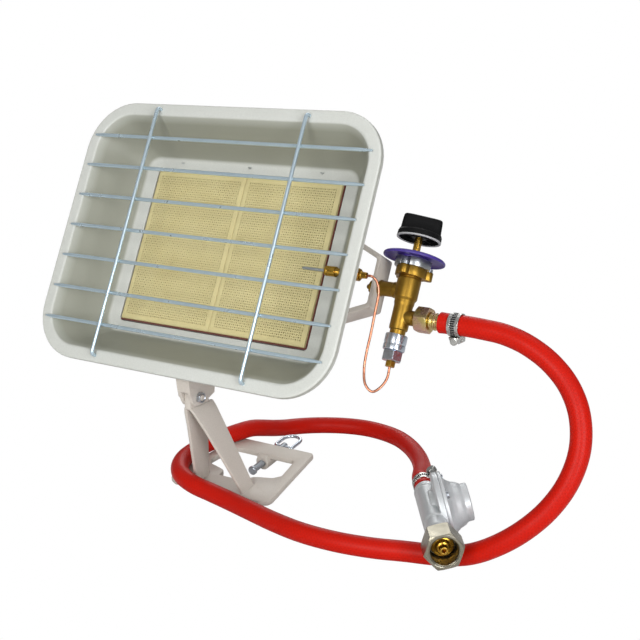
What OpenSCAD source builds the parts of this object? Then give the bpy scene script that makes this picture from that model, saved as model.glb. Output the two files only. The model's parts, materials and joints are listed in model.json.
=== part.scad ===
// Portable propane heater: a tilting radiant head on a clamp stand, with its gas valve, hose and regulator.
// Millimetres. +Z up, +X to the right along the dish, -Y to the front.
// The origin is the middle of the stand's front bottom edge, where it meets the ground.

/* [Reflector dish] */
// Width of the dish over its rim
dish_w = 286; // [260:1:340]
// Height of the dish over its rim
dish_h = 222; // [200:1:260]
// Width of the flat rim
rim_w = 10; // [8:0.5:14]
// Radius of the rim's outer corners
rim_corner_r = 42; // [30:1:60]
// Depth from the rim to the floor of the dish
dish_depth = 41; // [34:1:50]
// Thickness of the dish's sheet
dish_wall = 1.8; // [1.2:0.1:3]
// Depth of the rim's turned-back lip
lip_depth = 5; // [3:0.5:8]
// Width of floor that shows on each side of the burner
floor_margin_w = 13; // [10:1:20]
// Height of floor that shows above and below the burner
floor_margin_h = 11; // [8:1:16]
// Angle that the dish leans back at rest
dish_lean = 26; // [10:1:40]
// Height of the rim's centre above the ground
face_z = 220.4; // [200:0.1:260]
// How far the rim's centre stands in front of the stand's front edge
face_forward = 13; // [0:0.5:30]

/* [Burner] */
// Width of one ceramic tile
tile_w = 92; // [80:1:100]
// Height of one ceramic tile
tile_h = 132; // [110:1:140]
// Thickness of a ceramic tile
tile_t = 13; // [10:0.5:15]
// How far the tiles stand proud of the dish floor
tile_proud = 1; // [0:0.5:3]
// Gap between the tiles and the edge of the window
window_gap = 2; // [1.5:0.1:4]
// Thickness of the sealing strip round the tiles
gasket_t = 1.2; // [0.8:0.1:1.4]
// Depth of the burner housing behind the dish floor
housing_depth = 34; // [28:1:45]
// Thickness of the housing's sheet
housing_wall = 1.2; // [0.8:0.1:2]
// Width of the housing's fixing flange
housing_flange = 8; // [7:0.5:10]
// Outer radius of the venturi tube
venturi_r = 10; // [8:0.5:12]

/* [Guard] */
// Radius of a guard wire
wire_r = 1.5; // [1:0.1:2]
// Number of cross wires
cross_count = 7; // [5:1:9]
// Distance between cross wires
cross_pitch = 26.7; // [20:0.1:30]
// Length of a cross wire
cross_len = 270; // [240:1:300]
// Distance between the two upright wires
upright_gap = 146; // [120:1:180]
// Height between the upright wires' hooks
upright_len = 211; // [190:0.5:240]

/* [Valve] */
// Distance of the valve's axis from the middle of the dish
valve_u = 157; // [155:0.5:180]
// Distance of the valve's axis behind the rim's plane
valve_back = 60; // [55:0.5:70]
// Radius of the brass body
valve_r = 7.75; // [7:0.25:9]
// Radius of the side stubs
stub_r = 6.25; // [5.5:0.25:7]
// Radius of the grey collar
collar_r = 14; // [13:0.5:16]
// Radius of the indicator disc
disc_r = 24; // [20:0.5:28]
// Radius of the stem
stem_r = 3; // [2.5:0.25:3.5]
// Radius of the knob's skirt
knob_r = 17.25; // [15:0.25:20]
// Height of the knob's skirt
knob_skirt = 6; // [4:0.5:8]
// Height of the knob's grip above the skirt
knob_grip = 12.5; // [10:0.5:16]
// Width of the strap of the valve bracket
strap_w = 20; // [16:1:24]
// Thickness of the strap of the valve bracket
strap_t = 3; // [2:0.5:4]

/* [Stand] */
// Thickness of the base frame
base_t = 5; // [4:0.5:7]
// Depth of the base frame from front to back
base_len = 90; // [80:1:110]
// Half of the base frame's width at the front
base_front = 52; // [46:1:60]
// Half of the base frame's width at the back
base_back = 42; // [36:1:50]
// Depth of the front bar
front_bar = 36; // [32:1:42]
// Depth of the back bar
back_bar = 18; // [14:1:24]
// Width of a side bar
side_bar = 10.5; // [8:0.5:14]
// Thickness of a leg's strap
leg_t = 3; // [2.5:0.25:4]
// Half of the distance between the feet
leg_spread = 24.5; // [22:1:34]
// Height of the hinge pin above the ground
hinge_z = 95; // [90:1:104]
// Distance of the hinge pin in front of the stand's front edge
hinge_forward = 27; // [22:1:32]
// Radius of the hinge pin
hinge_pin_r = 2.5; // [2:0.1:3]
// Thickness of the lug that the pin passes through
lug_t = 6; // [5:0.5:8]
// Radius of the screw barrel under the back bar
barrel_r = 6.5; // [6:0.25:8]
// Distance of the clamp screw's axis below the base frame
screw_drop = 3; // [2:0.25:5]
// Radius of the clamp screw
screw_r = 3; // [2.5:0.25:4]
// Length of the clamp screw's rod
screw_len = 50; // [44:1:64]

/* [Hose and regulator] */
// Outer radius of the gas hose
hose_r = 7.75; // [7:0.25:9]
// Radius of the regulator's diaphragm housing
reg_disc_r = 27.5; // [24:0.5:32]
// Radius of the regulator's barrel
reg_barrel_r = 9.5; // [8.5:0.5:11]
// Distance across the flats of the union nut
nut_af = 26; // [24:1:30]
// Length of the union nut
nut_len = 20; // [16:1:24]

/* [Fits] */
// Radial clearance of a turning fit
run_fit = 0.05; // [0.02:0.01:0.1]
// Gap between pieces that move past each other
move_gap = 0.3; // [0.3:0.05:0.6]
// Gap round a loose hole
hole_gap = 0.3; // [0.2:0.05:0.5]

/* [Hidden] */
round_fn = 48;
hull_fn = 32;
tiny = 0.01;

paint_grey = "#c9ccc6";
paint_warm = "#b5aea4";
zinc = "#c4ccd4";
brass = "#b08a3a";
tile_cream = "#d8cf9c";

// The head's own frame: u to the right, v up along the dish, w out of its face
face_y = -face_forward;
function head_point(p) = [
    p[0],
    face_y + p[1] * sin(dish_lean) - p[2] * cos(dish_lean),
    face_z + p[1] * cos(dish_lean) + p[2] * sin(dish_lean)];

// Dish
opening_w = dish_w - 2 * rim_w;
opening_h = dish_h - 2 * rim_w;
opening_r = rim_corner_r - rim_w;
burner_w = 2 * tile_w;
window_w = burner_w + 2 * window_gap;
window_h = tile_h + 2 * window_gap;
floor_w = window_w + 2 * floor_margin_w - 2;
floor_h = window_h + 2 * floor_margin_h - 2;
floor_r = 12;
floor_w_back = -dish_depth - dish_wall;

// Burner
housing_w = window_w + 4;
housing_h = window_h + 4;
housing_back = floor_w_back - housing_depth;
tile_front = tile_proud - dish_depth;
tile_back = tile_front - tile_t;
venturi_v = -8;
venturi_w = -valve_back;
mouth_u = housing_w / 2 + housing_flange - 3;
housing_screw_u = [-70, 0, 70];
housing_screw_r = 2;
housing_screw_v = housing_h / 2 + housing_wall + 3.8;

// Guard
cross_w = wire_r + move_gap;
upright_w = cross_w + 2 * wire_r;
hook_hole_r = wire_r + hole_gap;
hook_depth = 6;
hook_bend_r = 3;

// Thermocouple
probe_v = -5;
probe_w = -36;
probe_tip_u = 76;
probe_r = 1.25;
sleeve_r = 4;
wall_u = floor_w / 2 + (opening_w - floor_w) / 2 * (1 + probe_w / dish_depth);
sleeve_thread_r = 3;
inner_nut_u = wall_u - 12;
outer_nut_u = wall_u + 6.5;
hex_len = 12;
ferrule_len = 6;
lead_r = 1;

// Valve, along its own axis v at u = valve_u
outlet_v = -8;
inlet_v = -28;
body_low = -38;
body_high = 3;
flange_t = 7;
collar_t = 7;
collar_low = body_high + flange_t;
collar_high = collar_low + collar_t;
disc_t = 3;
disc_high = collar_high + disc_t;
push_travel = 3;
knob_low = disc_high + 12.5;
knob_mid = knob_low + knob_skirt;
flat_depth = 0.8;
plug_r = 4;
plug_low = -20;
plug_high = -2;
stem_low = 2;
spring_r = 5;
magnet_r = 8.5;
magnet_low = -54.5;
magnet_hex_low = -62.5;
lead_nut_low = -67;
thread_r = 6;

// Valve bracket
web_out = valve_u - 23;
web_in = web_out - strap_t;
web_top = 15.5;
web_bottom = -26;
arm_root_u = housing_w / 2 + housing_wall;
arm_top_root = 27;
arm_bottom_root = -37;
tab_len = 12;
jet_hex = 9;

// Inlet side
stub_end = valve_u + 14;
union_len = 11;
union_af = 18;
barb_collar_r = 6.8;
barb_collar_len = 8;
hose_start_u = stub_end + union_len + barb_collar_len;
band_t = 0.8;
band_w = 9;
soft_gap = 0.35;

// Stand: built flat, then tipped back about its front bottom edge until the barrel meets the ground
barrel_drop = barrel_r + screw_drop;
barrel_front = base_len - back_bar - 4;
base_tip = asin(barrel_drop / norm([barrel_front, barrel_drop])) * 0.999;
corner_r = 8;
notch_half = 14;
notch_depth = 12;
prong_t = 8;
foot_front = 4;
foot_back = 21;
waist_z = hinge_z - 9;
hinge_y = -hinge_forward;
lug_r = 7.5;
cheek_t = 3;
cheek_in = lug_t / 2 + move_gap;
pad_t = 2.5;
pad_half = 18;
pad_len = 30;
pad_y = -40;
pad_screw_r = 2;
wall_lean = atan((opening_h - floor_h) / 2 / (dish_depth + dish_wall));
wall_run = norm([(opening_h - floor_h) / 2, dish_depth + dish_wall]);
hinge_hole_r = hinge_pin_r + run_fit;

// Clamp screw, along the base frame's own y at barrel height
screw_axis_z = -screw_drop;
screw_tip_y = 56;
tip_len = 4;
tip_r = 4;
tip_neck_r = 2;
neck_len = 2;
handle_r = 1.6;
handle_half = 9;
handle_deep = 22;

// Regulator frame: x along the barrel towards the union nut, z along the diaphragm's normal
reg_heading = -56.5;
reg_roll = -76;
reg_start = [170, 50];
reg_disc_x = 42;
reg_disc_low = 5;
reg_disc_t = 5;
reg_cover_t = 18;
reg_boss_r = 14.5;
reg_z = reg_disc_r * cos(90 + reg_roll) - reg_disc_low * sin(90 + reg_roll);
reg_end = 92;
nut_start = 94;
nut_bore_r = 10.5;
nipple_r = 3.2;
cone_r = 8.5;
cover_screw_r = 1.8;

// Hose: hand-set points between its two fittings
hose_from = head_point([hose_start_u + soft_gap, inlet_v, -valve_back]);
hose_to = [reg_start[0], reg_start[1], reg_z];
reg_dir = [cos(reg_heading), sin(reg_heading), 0];
hose_points = concat(
    [hose_from, hose_from + [10, 0, 0], hose_from + [20, 0, 0]],
    [
        [225, 28, 168.5], [241, 28, 167], [259, 27, 162], [277, 26, 152], [292, 24, 137.5], [302, 20, 119],
        [305.5, 14, 97], [301.5, 6, 75], [291, -1, 55], [276, -8, 38], [257, -12, 23], [236, -13, 11.5],
        [214, -18, 7.8], [192, -25, 7.8], [168, -33, 7.8], [140, -38, 7.8], [110, -38, 7.8], [82, -33, 7.8],
        [56, -26, 7.8], [30, -19, 8], [6, -15, 9.5], [-13, -13, 11.5], [-31, -6, 13.5], [-43, 6, 15],
        [-49.5, 21, 16.8], [-50, 37, 18.8], [-47, 53, 21], [-41.5, 68, 23], [-35, 82, 25], [-30.5, 96, 25],
        [-28, 111, 21.3], [-27, 126, 16.8], [-24.5, 141, 13.2], [-20, 156, 10.8], [-12, 169.5, 9.2], [0, 181, 8.2],
        [16, 189.5, 7.8], [35, 193.5, 7.8], [56, 191.5, 7.8], [76, 184, 7.8], [95, 170, 7.8], [112, 151, 9],
        [127, 128, 13], [141, 103, 18]],
    [hose_to - 26 * reg_dir - [0, 0, 1], hose_to - 12 * reg_dir, hose_to]);
hose_sides = 12;

// Copper lead in the head's frame
lead_points = [
    [outer_nut_u + hex_len + ferrule_len + 0.2, probe_v, probe_w],
    [outer_nut_u + hex_len + ferrule_len + 4, probe_v, probe_w - 1],
    [141, -8, -40], [143, -16, -43], [142, -30, -46], [141, -46, -49], [140, -60, -51], [140, -72, -53],
    [143, -83, -54], [149, -88, -56], [154, -84, -58], [valve_u, -76, venturi_w],
    [valve_u, lead_nut_low, venturi_w]];

// A smooth curve through hand-set points
function spline_point(p, i, t) =
    let (a = p[max(i - 1, 0)], b = p[i], c = p[i + 1], d = p[min(i + 2, len(p) - 1)])
    0.5 * (2 * b + (c - a) * t + (2 * a - 5 * b + 4 * c - d) * t ^ 2 + (3 * b - a - 3 * c + d) * t ^ 3);
function spline(p, steps) = concat(
    [for (i = [0 : len(p) - 2], k = [0 : steps - 1]) spline_point(p, i, k / steps)],
    [p[len(p) - 1]]);
function unit(v) = v / norm(v);
function heading(p, i) = unit(p[min(i + 1, len(p) - 1)] - p[max(i - 1, 0)]);
function square_to(n, t) = unit(n - (n * t) * t);
function side_dirs(p, first) = [
    for (i = 0, n = square_to(first, heading(p, 0)); i < len(p);
        i = i + 1, n = i < len(p) ? square_to(n, heading(p, i)) : n) n];

module swept_tube(p, r, sides, first) {
    dirs = side_dirs(p, first);
    rings = [for (i = [0 : len(p) - 1], k = [0 : sides - 1])
        let (t = heading(p, i), n = dirs[i], b = cross(t, n), a = 360 * k / sides)
        p[i] + r * cos(a) * n + r * sin(a) * b];
    walls = [for (i = [0 : len(p) - 2], k = [0 : sides - 1])
        let (a = i * sides + k, b = i * sides + (k + 1) % sides)
        each [[a, a + sides, b], [b, a + sides, b + sides]]];
    start_cap = [for (k = [0 : sides - 1]) k];
    end_cap = [for (k = [sides - 1 : -1 : 0]) (len(p) - 1) * sides + k];
    polyhedron(rings, concat([start_cap], walls, [end_cap]));
}

module rounded_rect(w, h, r, fn = round_fn) {
    hull() for (x = [-1, 1], y = [-1, 1])
        translate([x * (w / 2 - r), y * (h / 2 - r)]) circle(r, $fn = fn);
}

module rounded_plate(w, h, r, t) {
    translate([-w / 2 + r, -h / 2, 0]) cube([w - 2 * r, h, t]);
    translate([-w / 2, -h / 2 + r, 0]) cube([w, h - 2 * r, t]);
    for (x = [-1, 1], y = [-1, 1])
        translate([x * (w / 2 - r), y * (h / 2 - r), 0]) cylinder(r = r, h = t, $fn = round_fn);
}

module head_frame() {
    translate([0, face_y, face_z]) rotate([90 - dish_lean, 0, 0]) children();
}

// Children stand with +Z along the valve's axis, and their z is v
module valve_axis() {
    head_frame() translate([valve_u, 0, -valve_back]) rotate([-90, 0, 0]) children();
}

module along_u(u, v, w) {
    head_frame() translate([u, v, w]) rotate([0, 90, 0]) children();
}

module stand_space() {
    rotate([base_tip, 0, 0]) children();
}

module regulator_frame() {
    translate(hose_to) rotate([0, 0, reg_heading]) rotate([reg_roll, 0, 0]) children();
}

module tube(r_out, r_in, h) {
    difference() {
        cylinder(r = r_out, h = h, $fn = round_fn);
        translate([0, 0, -1]) cylinder(r = r_in, h = h + 2, $fn = round_fn);
    }
}

// A hexagon with chamfered corners and an optional bore
module hexagon(af, h, bore_r = 0) {
    edge_r = af * 0.53;
    difference() {
        intersection() {
            cylinder(r = af / sqrt(3), h = h, $fn = 6);
            cylinder(r1 = edge_r, r2 = edge_r + h, h = h, $fn = round_fn);
            cylinder(r1 = edge_r + h, r2 = edge_r, h = h, $fn = round_fn);
        }
        if (bore_r > 0) translate([0, 0, -1]) cylinder(r = bore_r, h = h + 2, $fn = round_fn);
    }
}

// Dish

module dish_solid(grow, front) {
    hull() {
        translate([0, 0, -tiny]) linear_extrude(front + tiny)
            rounded_rect(opening_w + 2 * grow, opening_h + 2 * grow, opening_r + grow, hull_fn);
        translate([0, 0, -dish_depth - grow]) linear_extrude(tiny)
            rounded_rect(floor_w + 2 * grow, floor_h + 2 * grow, floor_r + grow, hull_fn);
    }
}

module reflector_dish() {
    color(paint_grey) difference() {
        head_frame() difference() {
            union() {
                translate([0, 0, -dish_wall]) rounded_plate(dish_w, dish_h, rim_corner_r, dish_wall);
                difference() {
                    translate([0, 0, -lip_depth]) rounded_plate(dish_w, dish_h, rim_corner_r, lip_depth);
                    translate([0, 0, -lip_depth - 1]) rounded_plate(
                        dish_w - 2 * dish_wall, dish_h - 2 * dish_wall, rim_corner_r - dish_wall, lip_depth + 2);
                }
                dish_solid(dish_wall, 0);
            }
            dish_solid(0, 1);
            cube([window_w, window_h, 4 * dish_depth], center = true);
            for (x = [-1, 1], y = [-1, 1])
                translate([x * upright_gap / 2, y * upright_len / 2, -lip_depth - 1])
                    cylinder(r = hook_hole_r, h = lip_depth + 2, $fn = 16);
            translate([wall_u - 12, probe_v, probe_w]) rotate([0, 90, 0])
                cylinder(r = sleeve_thread_r + hole_gap, h = 24, $fn = 24);
            for (x = housing_screw_u, y = [-1, 1])
                translate([x, y * housing_screw_v, -dish_depth - 2 * dish_wall])
                    cylinder(r = housing_screw_r, h = 3 * dish_wall, $fn = 24);
        }
        pad_screw_places() translate([0, 0, -2 * dish_wall])
            cylinder(r = pad_screw_r, h = 3 * dish_wall, $fn = 24);
    }
}

module guard_cross_wires() {
    color(zinc) head_frame() for (i = [0 : cross_count - 1])
        translate([-cross_len / 2, (i - (cross_count - 1) / 2) * cross_pitch, cross_w])
            rotate([0, 90, 0]) cylinder(r = wire_r, h = cross_len, $fn = 24);
}

module upright_hook() {
    translate([0, 0, -hook_bend_r]) rotate([90, 0, 90])
        rotate_extrude(angle = 90, $fn = 32) translate([hook_bend_r, 0]) circle(wire_r, $fn = 24);
    translate([0, hook_bend_r, -hook_bend_r - hook_depth])
        cylinder(r = wire_r, h = hook_depth, $fn = 24);
}

module guard_upright_wires() {
    color(zinc) head_frame() for (x = [-1, 1]) translate([x * upright_gap / 2, 0, upright_w]) {
        translate([0, -upright_len / 2 + hook_bend_r, 0]) rotate([-90, 0, 0])
            cylinder(r = wire_r, h = upright_len - 2 * hook_bend_r, $fn = 24);
        for (y = [0, 1]) mirror([0, y, 0]) translate([0, upright_len / 2 - hook_bend_r, 0]) upright_hook();
    }
}

// Burner

module burner_tile(side) {
    color(tile_cream) head_frame()
        translate([side > 0 ? tiny : -tile_w - tiny, -tile_h / 2, tile_back]) cube([tile_w, tile_h, tile_t]);
}
module burner_tile_left() { burner_tile(-1); }
module burner_tile_right() { burner_tile(1); }

module tile_gasket() {
    color("#5a1c1c") head_frame() translate([0, 0, tile_back]) difference() {
        translate([-burner_w / 2 - gasket_t, -tile_h / 2 - gasket_t, 0])
            cube([burner_w + 2 * gasket_t, tile_h + 2 * gasket_t, tile_t - 2]);
        translate([-burner_w / 2 - 0.05, -tile_h / 2 - 0.05, -1])
            cube([burner_w + 0.1, tile_h + 0.1, tile_t + 2]);
    }
}

module burner_housing() {
    color("#a8a8a4") head_frame() difference() {
        union() {
            translate([-housing_w / 2 - housing_wall, -housing_h / 2 - housing_wall, housing_back])
                cube([housing_w + 2 * housing_wall, housing_h + 2 * housing_wall, housing_depth]);
            translate([-housing_w / 2 - 2, -housing_h / 2 - housing_flange, floor_w_back - housing_wall])
                cube([housing_w + 4, housing_h + 2 * housing_flange, housing_wall]);
        }
        translate([-housing_w / 2, -housing_h / 2, housing_back + housing_wall])
            cube([housing_w, housing_h, housing_depth + 1]);
        translate([housing_w / 2 - 5, venturi_v, venturi_w]) rotate([0, 90, 0])
            cylinder(r = venturi_r + 0.05, h = 12, $fn = round_fn);
        for (v = [arm_top_root + tab_len / 2, arm_bottom_root - tab_len / 2])
            translate([housing_w / 2 - 2, v, venturi_w]) rotate([0, 90, 0])
                cylinder(r = 2, h = 8, $fn = 24);
        for (x = housing_screw_u, y = [-1, 1])
            translate([x, y * housing_screw_v, floor_w_back - 3])
                cylinder(r = housing_screw_r, h = 5, $fn = 24);
    }
}

module housing_screws() {
    color(zinc) head_frame() for (x = housing_screw_u, y = [-1, 1])
        translate([x, y * housing_screw_v, floor_w_back - housing_wall]) mirror([0, 0, 1]) {
            cylinder(r = 3.6, h = 2.2, $fn = 24);
            translate([0, 0, -housing_wall - dish_wall])
                cylinder(r = housing_screw_r, h = housing_wall + dish_wall + tiny, $fn = 24);
        }
}

module baffle_plate() {
    color("#9a9a96") head_frame() difference() {
        translate([-housing_w / 2, -housing_h / 2, tile_back - 1.8]) cube([housing_w, housing_h, 1]);
        for (x = [-5 : 5], y = [-3 : 3])
            translate([x * 16, y * 18, tile_back - 3]) cylinder(r = 4, h = 3, $fn = 16);
    }
}

module venturi_tube() {
    color("#a09c94") along_u(0, venturi_v, venturi_w - 1) {
        tube(venturi_r - 4, venturi_r - 5.2, housing_w / 2 + 2);
        translate([0, 0, housing_w / 2 + 2]) rotate_extrude($fn = round_fn) polygon([
            [venturi_r - 5.2, 0], [venturi_r - 4, 0], [venturi_r, mouth_u - housing_w / 2 - 2],
            [venturi_r - 1.2, mouth_u - housing_w / 2 - 2]]);
    }
}

// Thermocouple

module thermocouple_probe() {
    color("#d8d0c0") along_u(probe_tip_u, probe_v, probe_w) {
        translate([0, 0, 2]) cylinder(r = probe_r, h = inner_nut_u - probe_tip_u - 2, $fn = 24);
        cylinder(r1 = 0.5, r2 = probe_r, h = 2, $fn = 24);
    }
}

module thermocouple_inner_nut() {
    color(brass) along_u(inner_nut_u, probe_v, probe_w) {
        cylinder(r = sleeve_r, h = 9.5, $fn = round_fn);
        cylinder(r = sleeve_thread_r, h = outer_nut_u - inner_nut_u, $fn = round_fn);
    }
}

module thermocouple_outer_nut() {
    color(brass) along_u(outer_nut_u, probe_v, probe_w) hexagon(9, hex_len);
}

module thermocouple_ferrule() {
    color(brass) along_u(outer_nut_u + hex_len, probe_v, probe_w)
        cylinder(r1 = 3.2, r2 = 2.4, h = ferrule_len, $fn = round_fn);
}

module thermocouple_lead() {
    color("#b87358") head_frame() swept_tube(spline(lead_points, 3), lead_r, 8, [0, 1, 0.2]);
}

// Valve

module valve_bracket() {
    color(paint_warm) head_frame() translate([0, 0, -valve_back - strap_w / 2]) difference() {
        union() {
            linear_extrude(strap_w) polygon([
                [arm_root_u, arm_top_root], [web_in, web_top - strap_t], [web_in, web_bottom + strap_t],
                [arm_root_u, arm_bottom_root], [arm_root_u, arm_bottom_root - tab_len],
                [arm_root_u + strap_t, arm_bottom_root - tab_len], [arm_root_u + strap_t, arm_bottom_root - strap_t],
                [web_out, web_bottom], [web_out, web_top],
                [arm_root_u + strap_t, arm_top_root + strap_t], [arm_root_u + strap_t, arm_top_root + tab_len],
                [arm_root_u, arm_top_root + tab_len]]);
        }
        translate([web_in - 5, outlet_v, strap_w / 2]) rotate([0, 90, 0])
            cylinder(r = stub_r - 1.5, h = strap_t + 10, $fn = round_fn);
        for (v = [arm_top_root + strap_t + (tab_len - strap_t) / 2, arm_bottom_root - tab_len / 2 - strap_t / 2])
            translate([arm_root_u - 2, v, strap_w / 2]) rotate([0, 90, 0])
                cylinder(r = 2, h = strap_t + 4, $fn = 24);
    }
}

module bracket_screws() {
    color(zinc) for (v = [arm_top_root + strap_t + (tab_len - strap_t) / 2, arm_bottom_root - tab_len / 2 - strap_t / 2])
        along_u(arm_root_u + strap_t, v, -valve_back) {
            cylinder(r = 3.6, h = 2.2, $fn = 24);
            translate([0, 0, -strap_t]) cylinder(r = 2, h = strap_t + tiny, $fn = 24);
        }
}

module gas_jet() {
    color(brass) along_u(web_in, outlet_v, -valve_back) mirror([0, 0, 1]) {
        hexagon(jet_hex, 5);
        translate([0, 0, 5 - tiny]) cylinder(r1 = 3.2, r2 = 1.6, h = 3, $fn = round_fn);
    }
}

module valve_body() {
    color(brass) valve_axis() difference() {
        union() {
            translate([0, 0, body_low]) cylinder(r = valve_r, h = body_high - body_low, $fn = round_fn);
            translate([0, 0, -44]) cylinder(r = thread_r, h = 7, $fn = round_fn);
            translate([0, 0, outlet_v]) rotate([0, -90, 0])
                cylinder(r = stub_r, h = valve_u - web_out, $fn = round_fn);
            translate([0, 0, outlet_v]) rotate([0, -90, 0])
                cylinder(r = stub_r - 1.55, h = valve_u - web_in, $fn = round_fn);
            translate([0, 0, inlet_v]) rotate([0, 90, 0])
                cylinder(r = stub_r - 0.5, h = stub_end - valve_u, $fn = round_fn);
        }
        translate([0, 0, plug_low])
            cylinder(r = plug_r + run_fit, h = body_high - plug_low + 1, $fn = round_fn);
        translate([0, 0, inlet_v]) rotate([0, 90, 0]) cylinder(r = 3, h = 40, $fn = 24);
        translate([0, 0, outlet_v]) rotate([0, -90, 0]) cylinder(r = 2, h = 60, $fn = 24);
        translate([0, 0, -60]) cylinder(r = 2.5, h = 30, $fn = 24);
    }
}

module valve_plug() {
    color("#c8a860") valve_axis() translate([0, 0, plug_low + 0.2]) difference() {
        cylinder(r = plug_r, h = plug_high - plug_low - push_travel - 0.5, $fn = round_fn);
        translate([0, 0, 9]) rotate([0, 90, 0]) cylinder(r = 1.5, h = 20, center = true, $fn = 24);
    }
}

module valve_flange() {
    color(brass) valve_axis() translate([0, 0, body_high]) difference() {
        union() {
            cylinder(r = collar_r - 2, h = flange_t, $fn = round_fn);
            for (a = [30 : 120 : 360]) rotate([0, 0, a])
                translate([collar_r - 1, 0, 0.5]) cylinder(r = 3.6, h = flange_t - 1, $fn = 24);
        }
        translate([0, 0, -1]) cylinder(r = spring_r + move_gap, h = flange_t + 2, $fn = round_fn);
        for (a = [30 : 120 : 360]) rotate([0, 0, a]) translate([collar_r - 1, 0, -1])
            cylinder(r = 1.5, h = flange_t + 2, $fn = 24);
    }
}

module valve_collar() {
    color("#9ea2a6") valve_axis() translate([0, 0, collar_low]) difference() {
        cylinder(r = collar_r, h = collar_t, $fn = round_fn);
        translate([0, 0, -1]) cylinder(r = stem_r + run_fit, h = collar_t + 2, $fn = round_fn);
        for (a = [30 : 120 : 360]) rotate([0, 0, a]) translate([collar_r - 1, 0, -1])
            cylinder(r = 3.2, h = collar_t + 2, $fn = 24);
    }
}

module collar_screws() {
    color(zinc) valve_axis() for (a = [30 : 120 : 360]) rotate([0, 0, a])
        translate([collar_r - 1, 0, body_high]) {
            translate([0, 0, 0.5]) cylinder(r = 1.5, h = flange_t, $fn = 24);
            translate([0, 0, flange_t]) cylinder(r = 2.8, h = 2.4, $fn = 24);
        }
}

module indicator_disc() {
    color("#3a2a80") valve_axis() translate([0, 0, collar_high]) difference() {
        rotate_extrude($fn = 72) polygon([
            [0, disc_t - 0.6], [0, disc_t], [disc_r - 6, disc_t], [disc_r - 1.2, disc_t - 0.7], [disc_r, disc_t - 1.8],
            [disc_r, disc_t - 3.4], [disc_r - 1.2, disc_t - 3.4], [disc_r - 1.4, disc_t - 2.6],
            [disc_r - 6, disc_t - 1.8], [collar_r - 3, disc_t - 1.8], [collar_r - 3, 0], [0, 0]]);
        translate([0, 0, -1]) cylinder(r = stem_r + run_fit, h = disc_t + 2, $fn = round_fn);
    }
}

module valve_stem() {
    color(brass) valve_axis() difference() {
        union() {
            translate([0, 0, stem_low]) cylinder(r = stem_r, h = knob_low + 14 - stem_low, $fn = round_fn);
            translate([0, 0, collar_low - 2.2]) cylinder(r = spring_r, h = 2, $fn = round_fn);
        }
        translate([stem_r - flat_depth, -5, disc_high + push_travel + 1]) cube([5, 10, 40]);
    }
}

module stem_spring() {
    color(zinc) valve_axis() translate([0, 0, body_high]) difference() {
        cylinder(r = spring_r, h = collar_low - 2.5 - body_high, $fn = round_fn);
        translate([0, 0, -1]) cylinder(r = stem_r + 0.2, h = 20, $fn = round_fn);
    }
}

module control_knob() {
    hub_r = 6;
    grip_l = 32;
    grip_w = 13;
    wall = 2;
    color("#1c1c1e") valve_axis() difference() {
        union() {
            difference() {
                translate([0, 0, knob_low]) cylinder(r = knob_r, h = knob_skirt, $fn = 72);
                translate([0, 0, knob_low - 1])
                    cylinder(r = knob_r - wall, h = knob_skirt - wall + 1, $fn = 72);
            }
            translate([0, 0, knob_low + 1.5]) cylinder(r = hub_r, h = knob_skirt, $fn = round_fn);
            intersection() {
                rotate([0, 0, 29]) translate([-grip_l / 2, -grip_w / 2, knob_mid - tiny])
                    cube([grip_l, grip_w, knob_grip]);
                translate([0, 0, knob_mid - 1]) cylinder(r = grip_l / 2, h = knob_grip + 2, $fn = 72);
            }
        }
        translate([0, 0, knob_low - 1]) cylinder(r = stem_r, h = 15, $fn = round_fn);
    }
}

module magnet_housing() {
    color(zinc) valve_axis() translate([0, 0, magnet_low]) difference() {
        cylinder(r = magnet_r, h = -42 - magnet_low, $fn = round_fn);
        translate([0, 0, -44 - magnet_low]) cylinder(r = thread_r, h = 20, $fn = round_fn);
    }
}

module magnet_hexagon() {
    color(zinc) valve_axis() translate([0, 0, magnet_hex_low]) hexagon(14, magnet_low - magnet_hex_low);
}

module lead_nut() {
    color(brass) valve_axis() translate([0, 0, lead_nut_low]) hexagon(7, magnet_hex_low - lead_nut_low);
}

// Inlet and its hose fitting

module inlet_union_nut() {
    color("#b4ae90") along_u(stub_end, inlet_v, -valve_back) hexagon(union_af, union_len, 4);
}

module inlet_hose_barb() {
    color("#a8a898") along_u(stub_end, inlet_v, -valve_back) difference() {
        union() {
            cylinder(r = 4 - 0.02, h = union_len, $fn = round_fn);
            translate([0, 0, union_len]) cylinder(r = barb_collar_r, h = barb_collar_len, $fn = round_fn);
        }
        translate([0, 0, -1]) cylinder(r = 2.5, h = 40, $fn = 24);
    }
}

module clamp_band(gap) {
    tube(hose_r + gap + band_t, hose_r + gap, band_w);
}

module clamp_worm(gap) {
    translate([hose_r + gap + band_t + 3, 0, band_w / 2]) rotate([90, 0, 0]) {
        translate([0, 0, -4]) cylinder(r = 3, h = 9, $fn = round_fn);
        translate([0, 0, -9]) hexagon(7, 5);
    }
}

module inlet_clamp_band() {
    color("#b8b8b4") translate(hose_from + [8, 0, 0]) rotate([0, 90, 0]) clamp_band(soft_gap);
}

module inlet_clamp_screw() {
    color("#c4c4c0") translate(hose_from + [8, 0, 0]) rotate([0, 90, 0]) clamp_worm(soft_gap);
}

// Head bracket

module cheek_outline() {
    polygon([
        [hinge_y - lug_r - 4, hinge_z + 6], [hinge_y - lug_r, hinge_z - 3], [hinge_y - 5, hinge_z - lug_r + 1],
        [hinge_y + 5, hinge_z - lug_r + 1], [hinge_y + 20, hinge_z - 1], [hinge_y + 24, 130], [hinge_y - 16, 130]]);
}

// Outer face of the dish's bottom wall: z is its outward normal and y runs to the front
module on_bottom_wall() {
    head_frame() translate([0, -opening_h / 2 - dish_wall, 0]) rotate([90 + wall_lean, 0, 0]) children();
}

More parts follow.
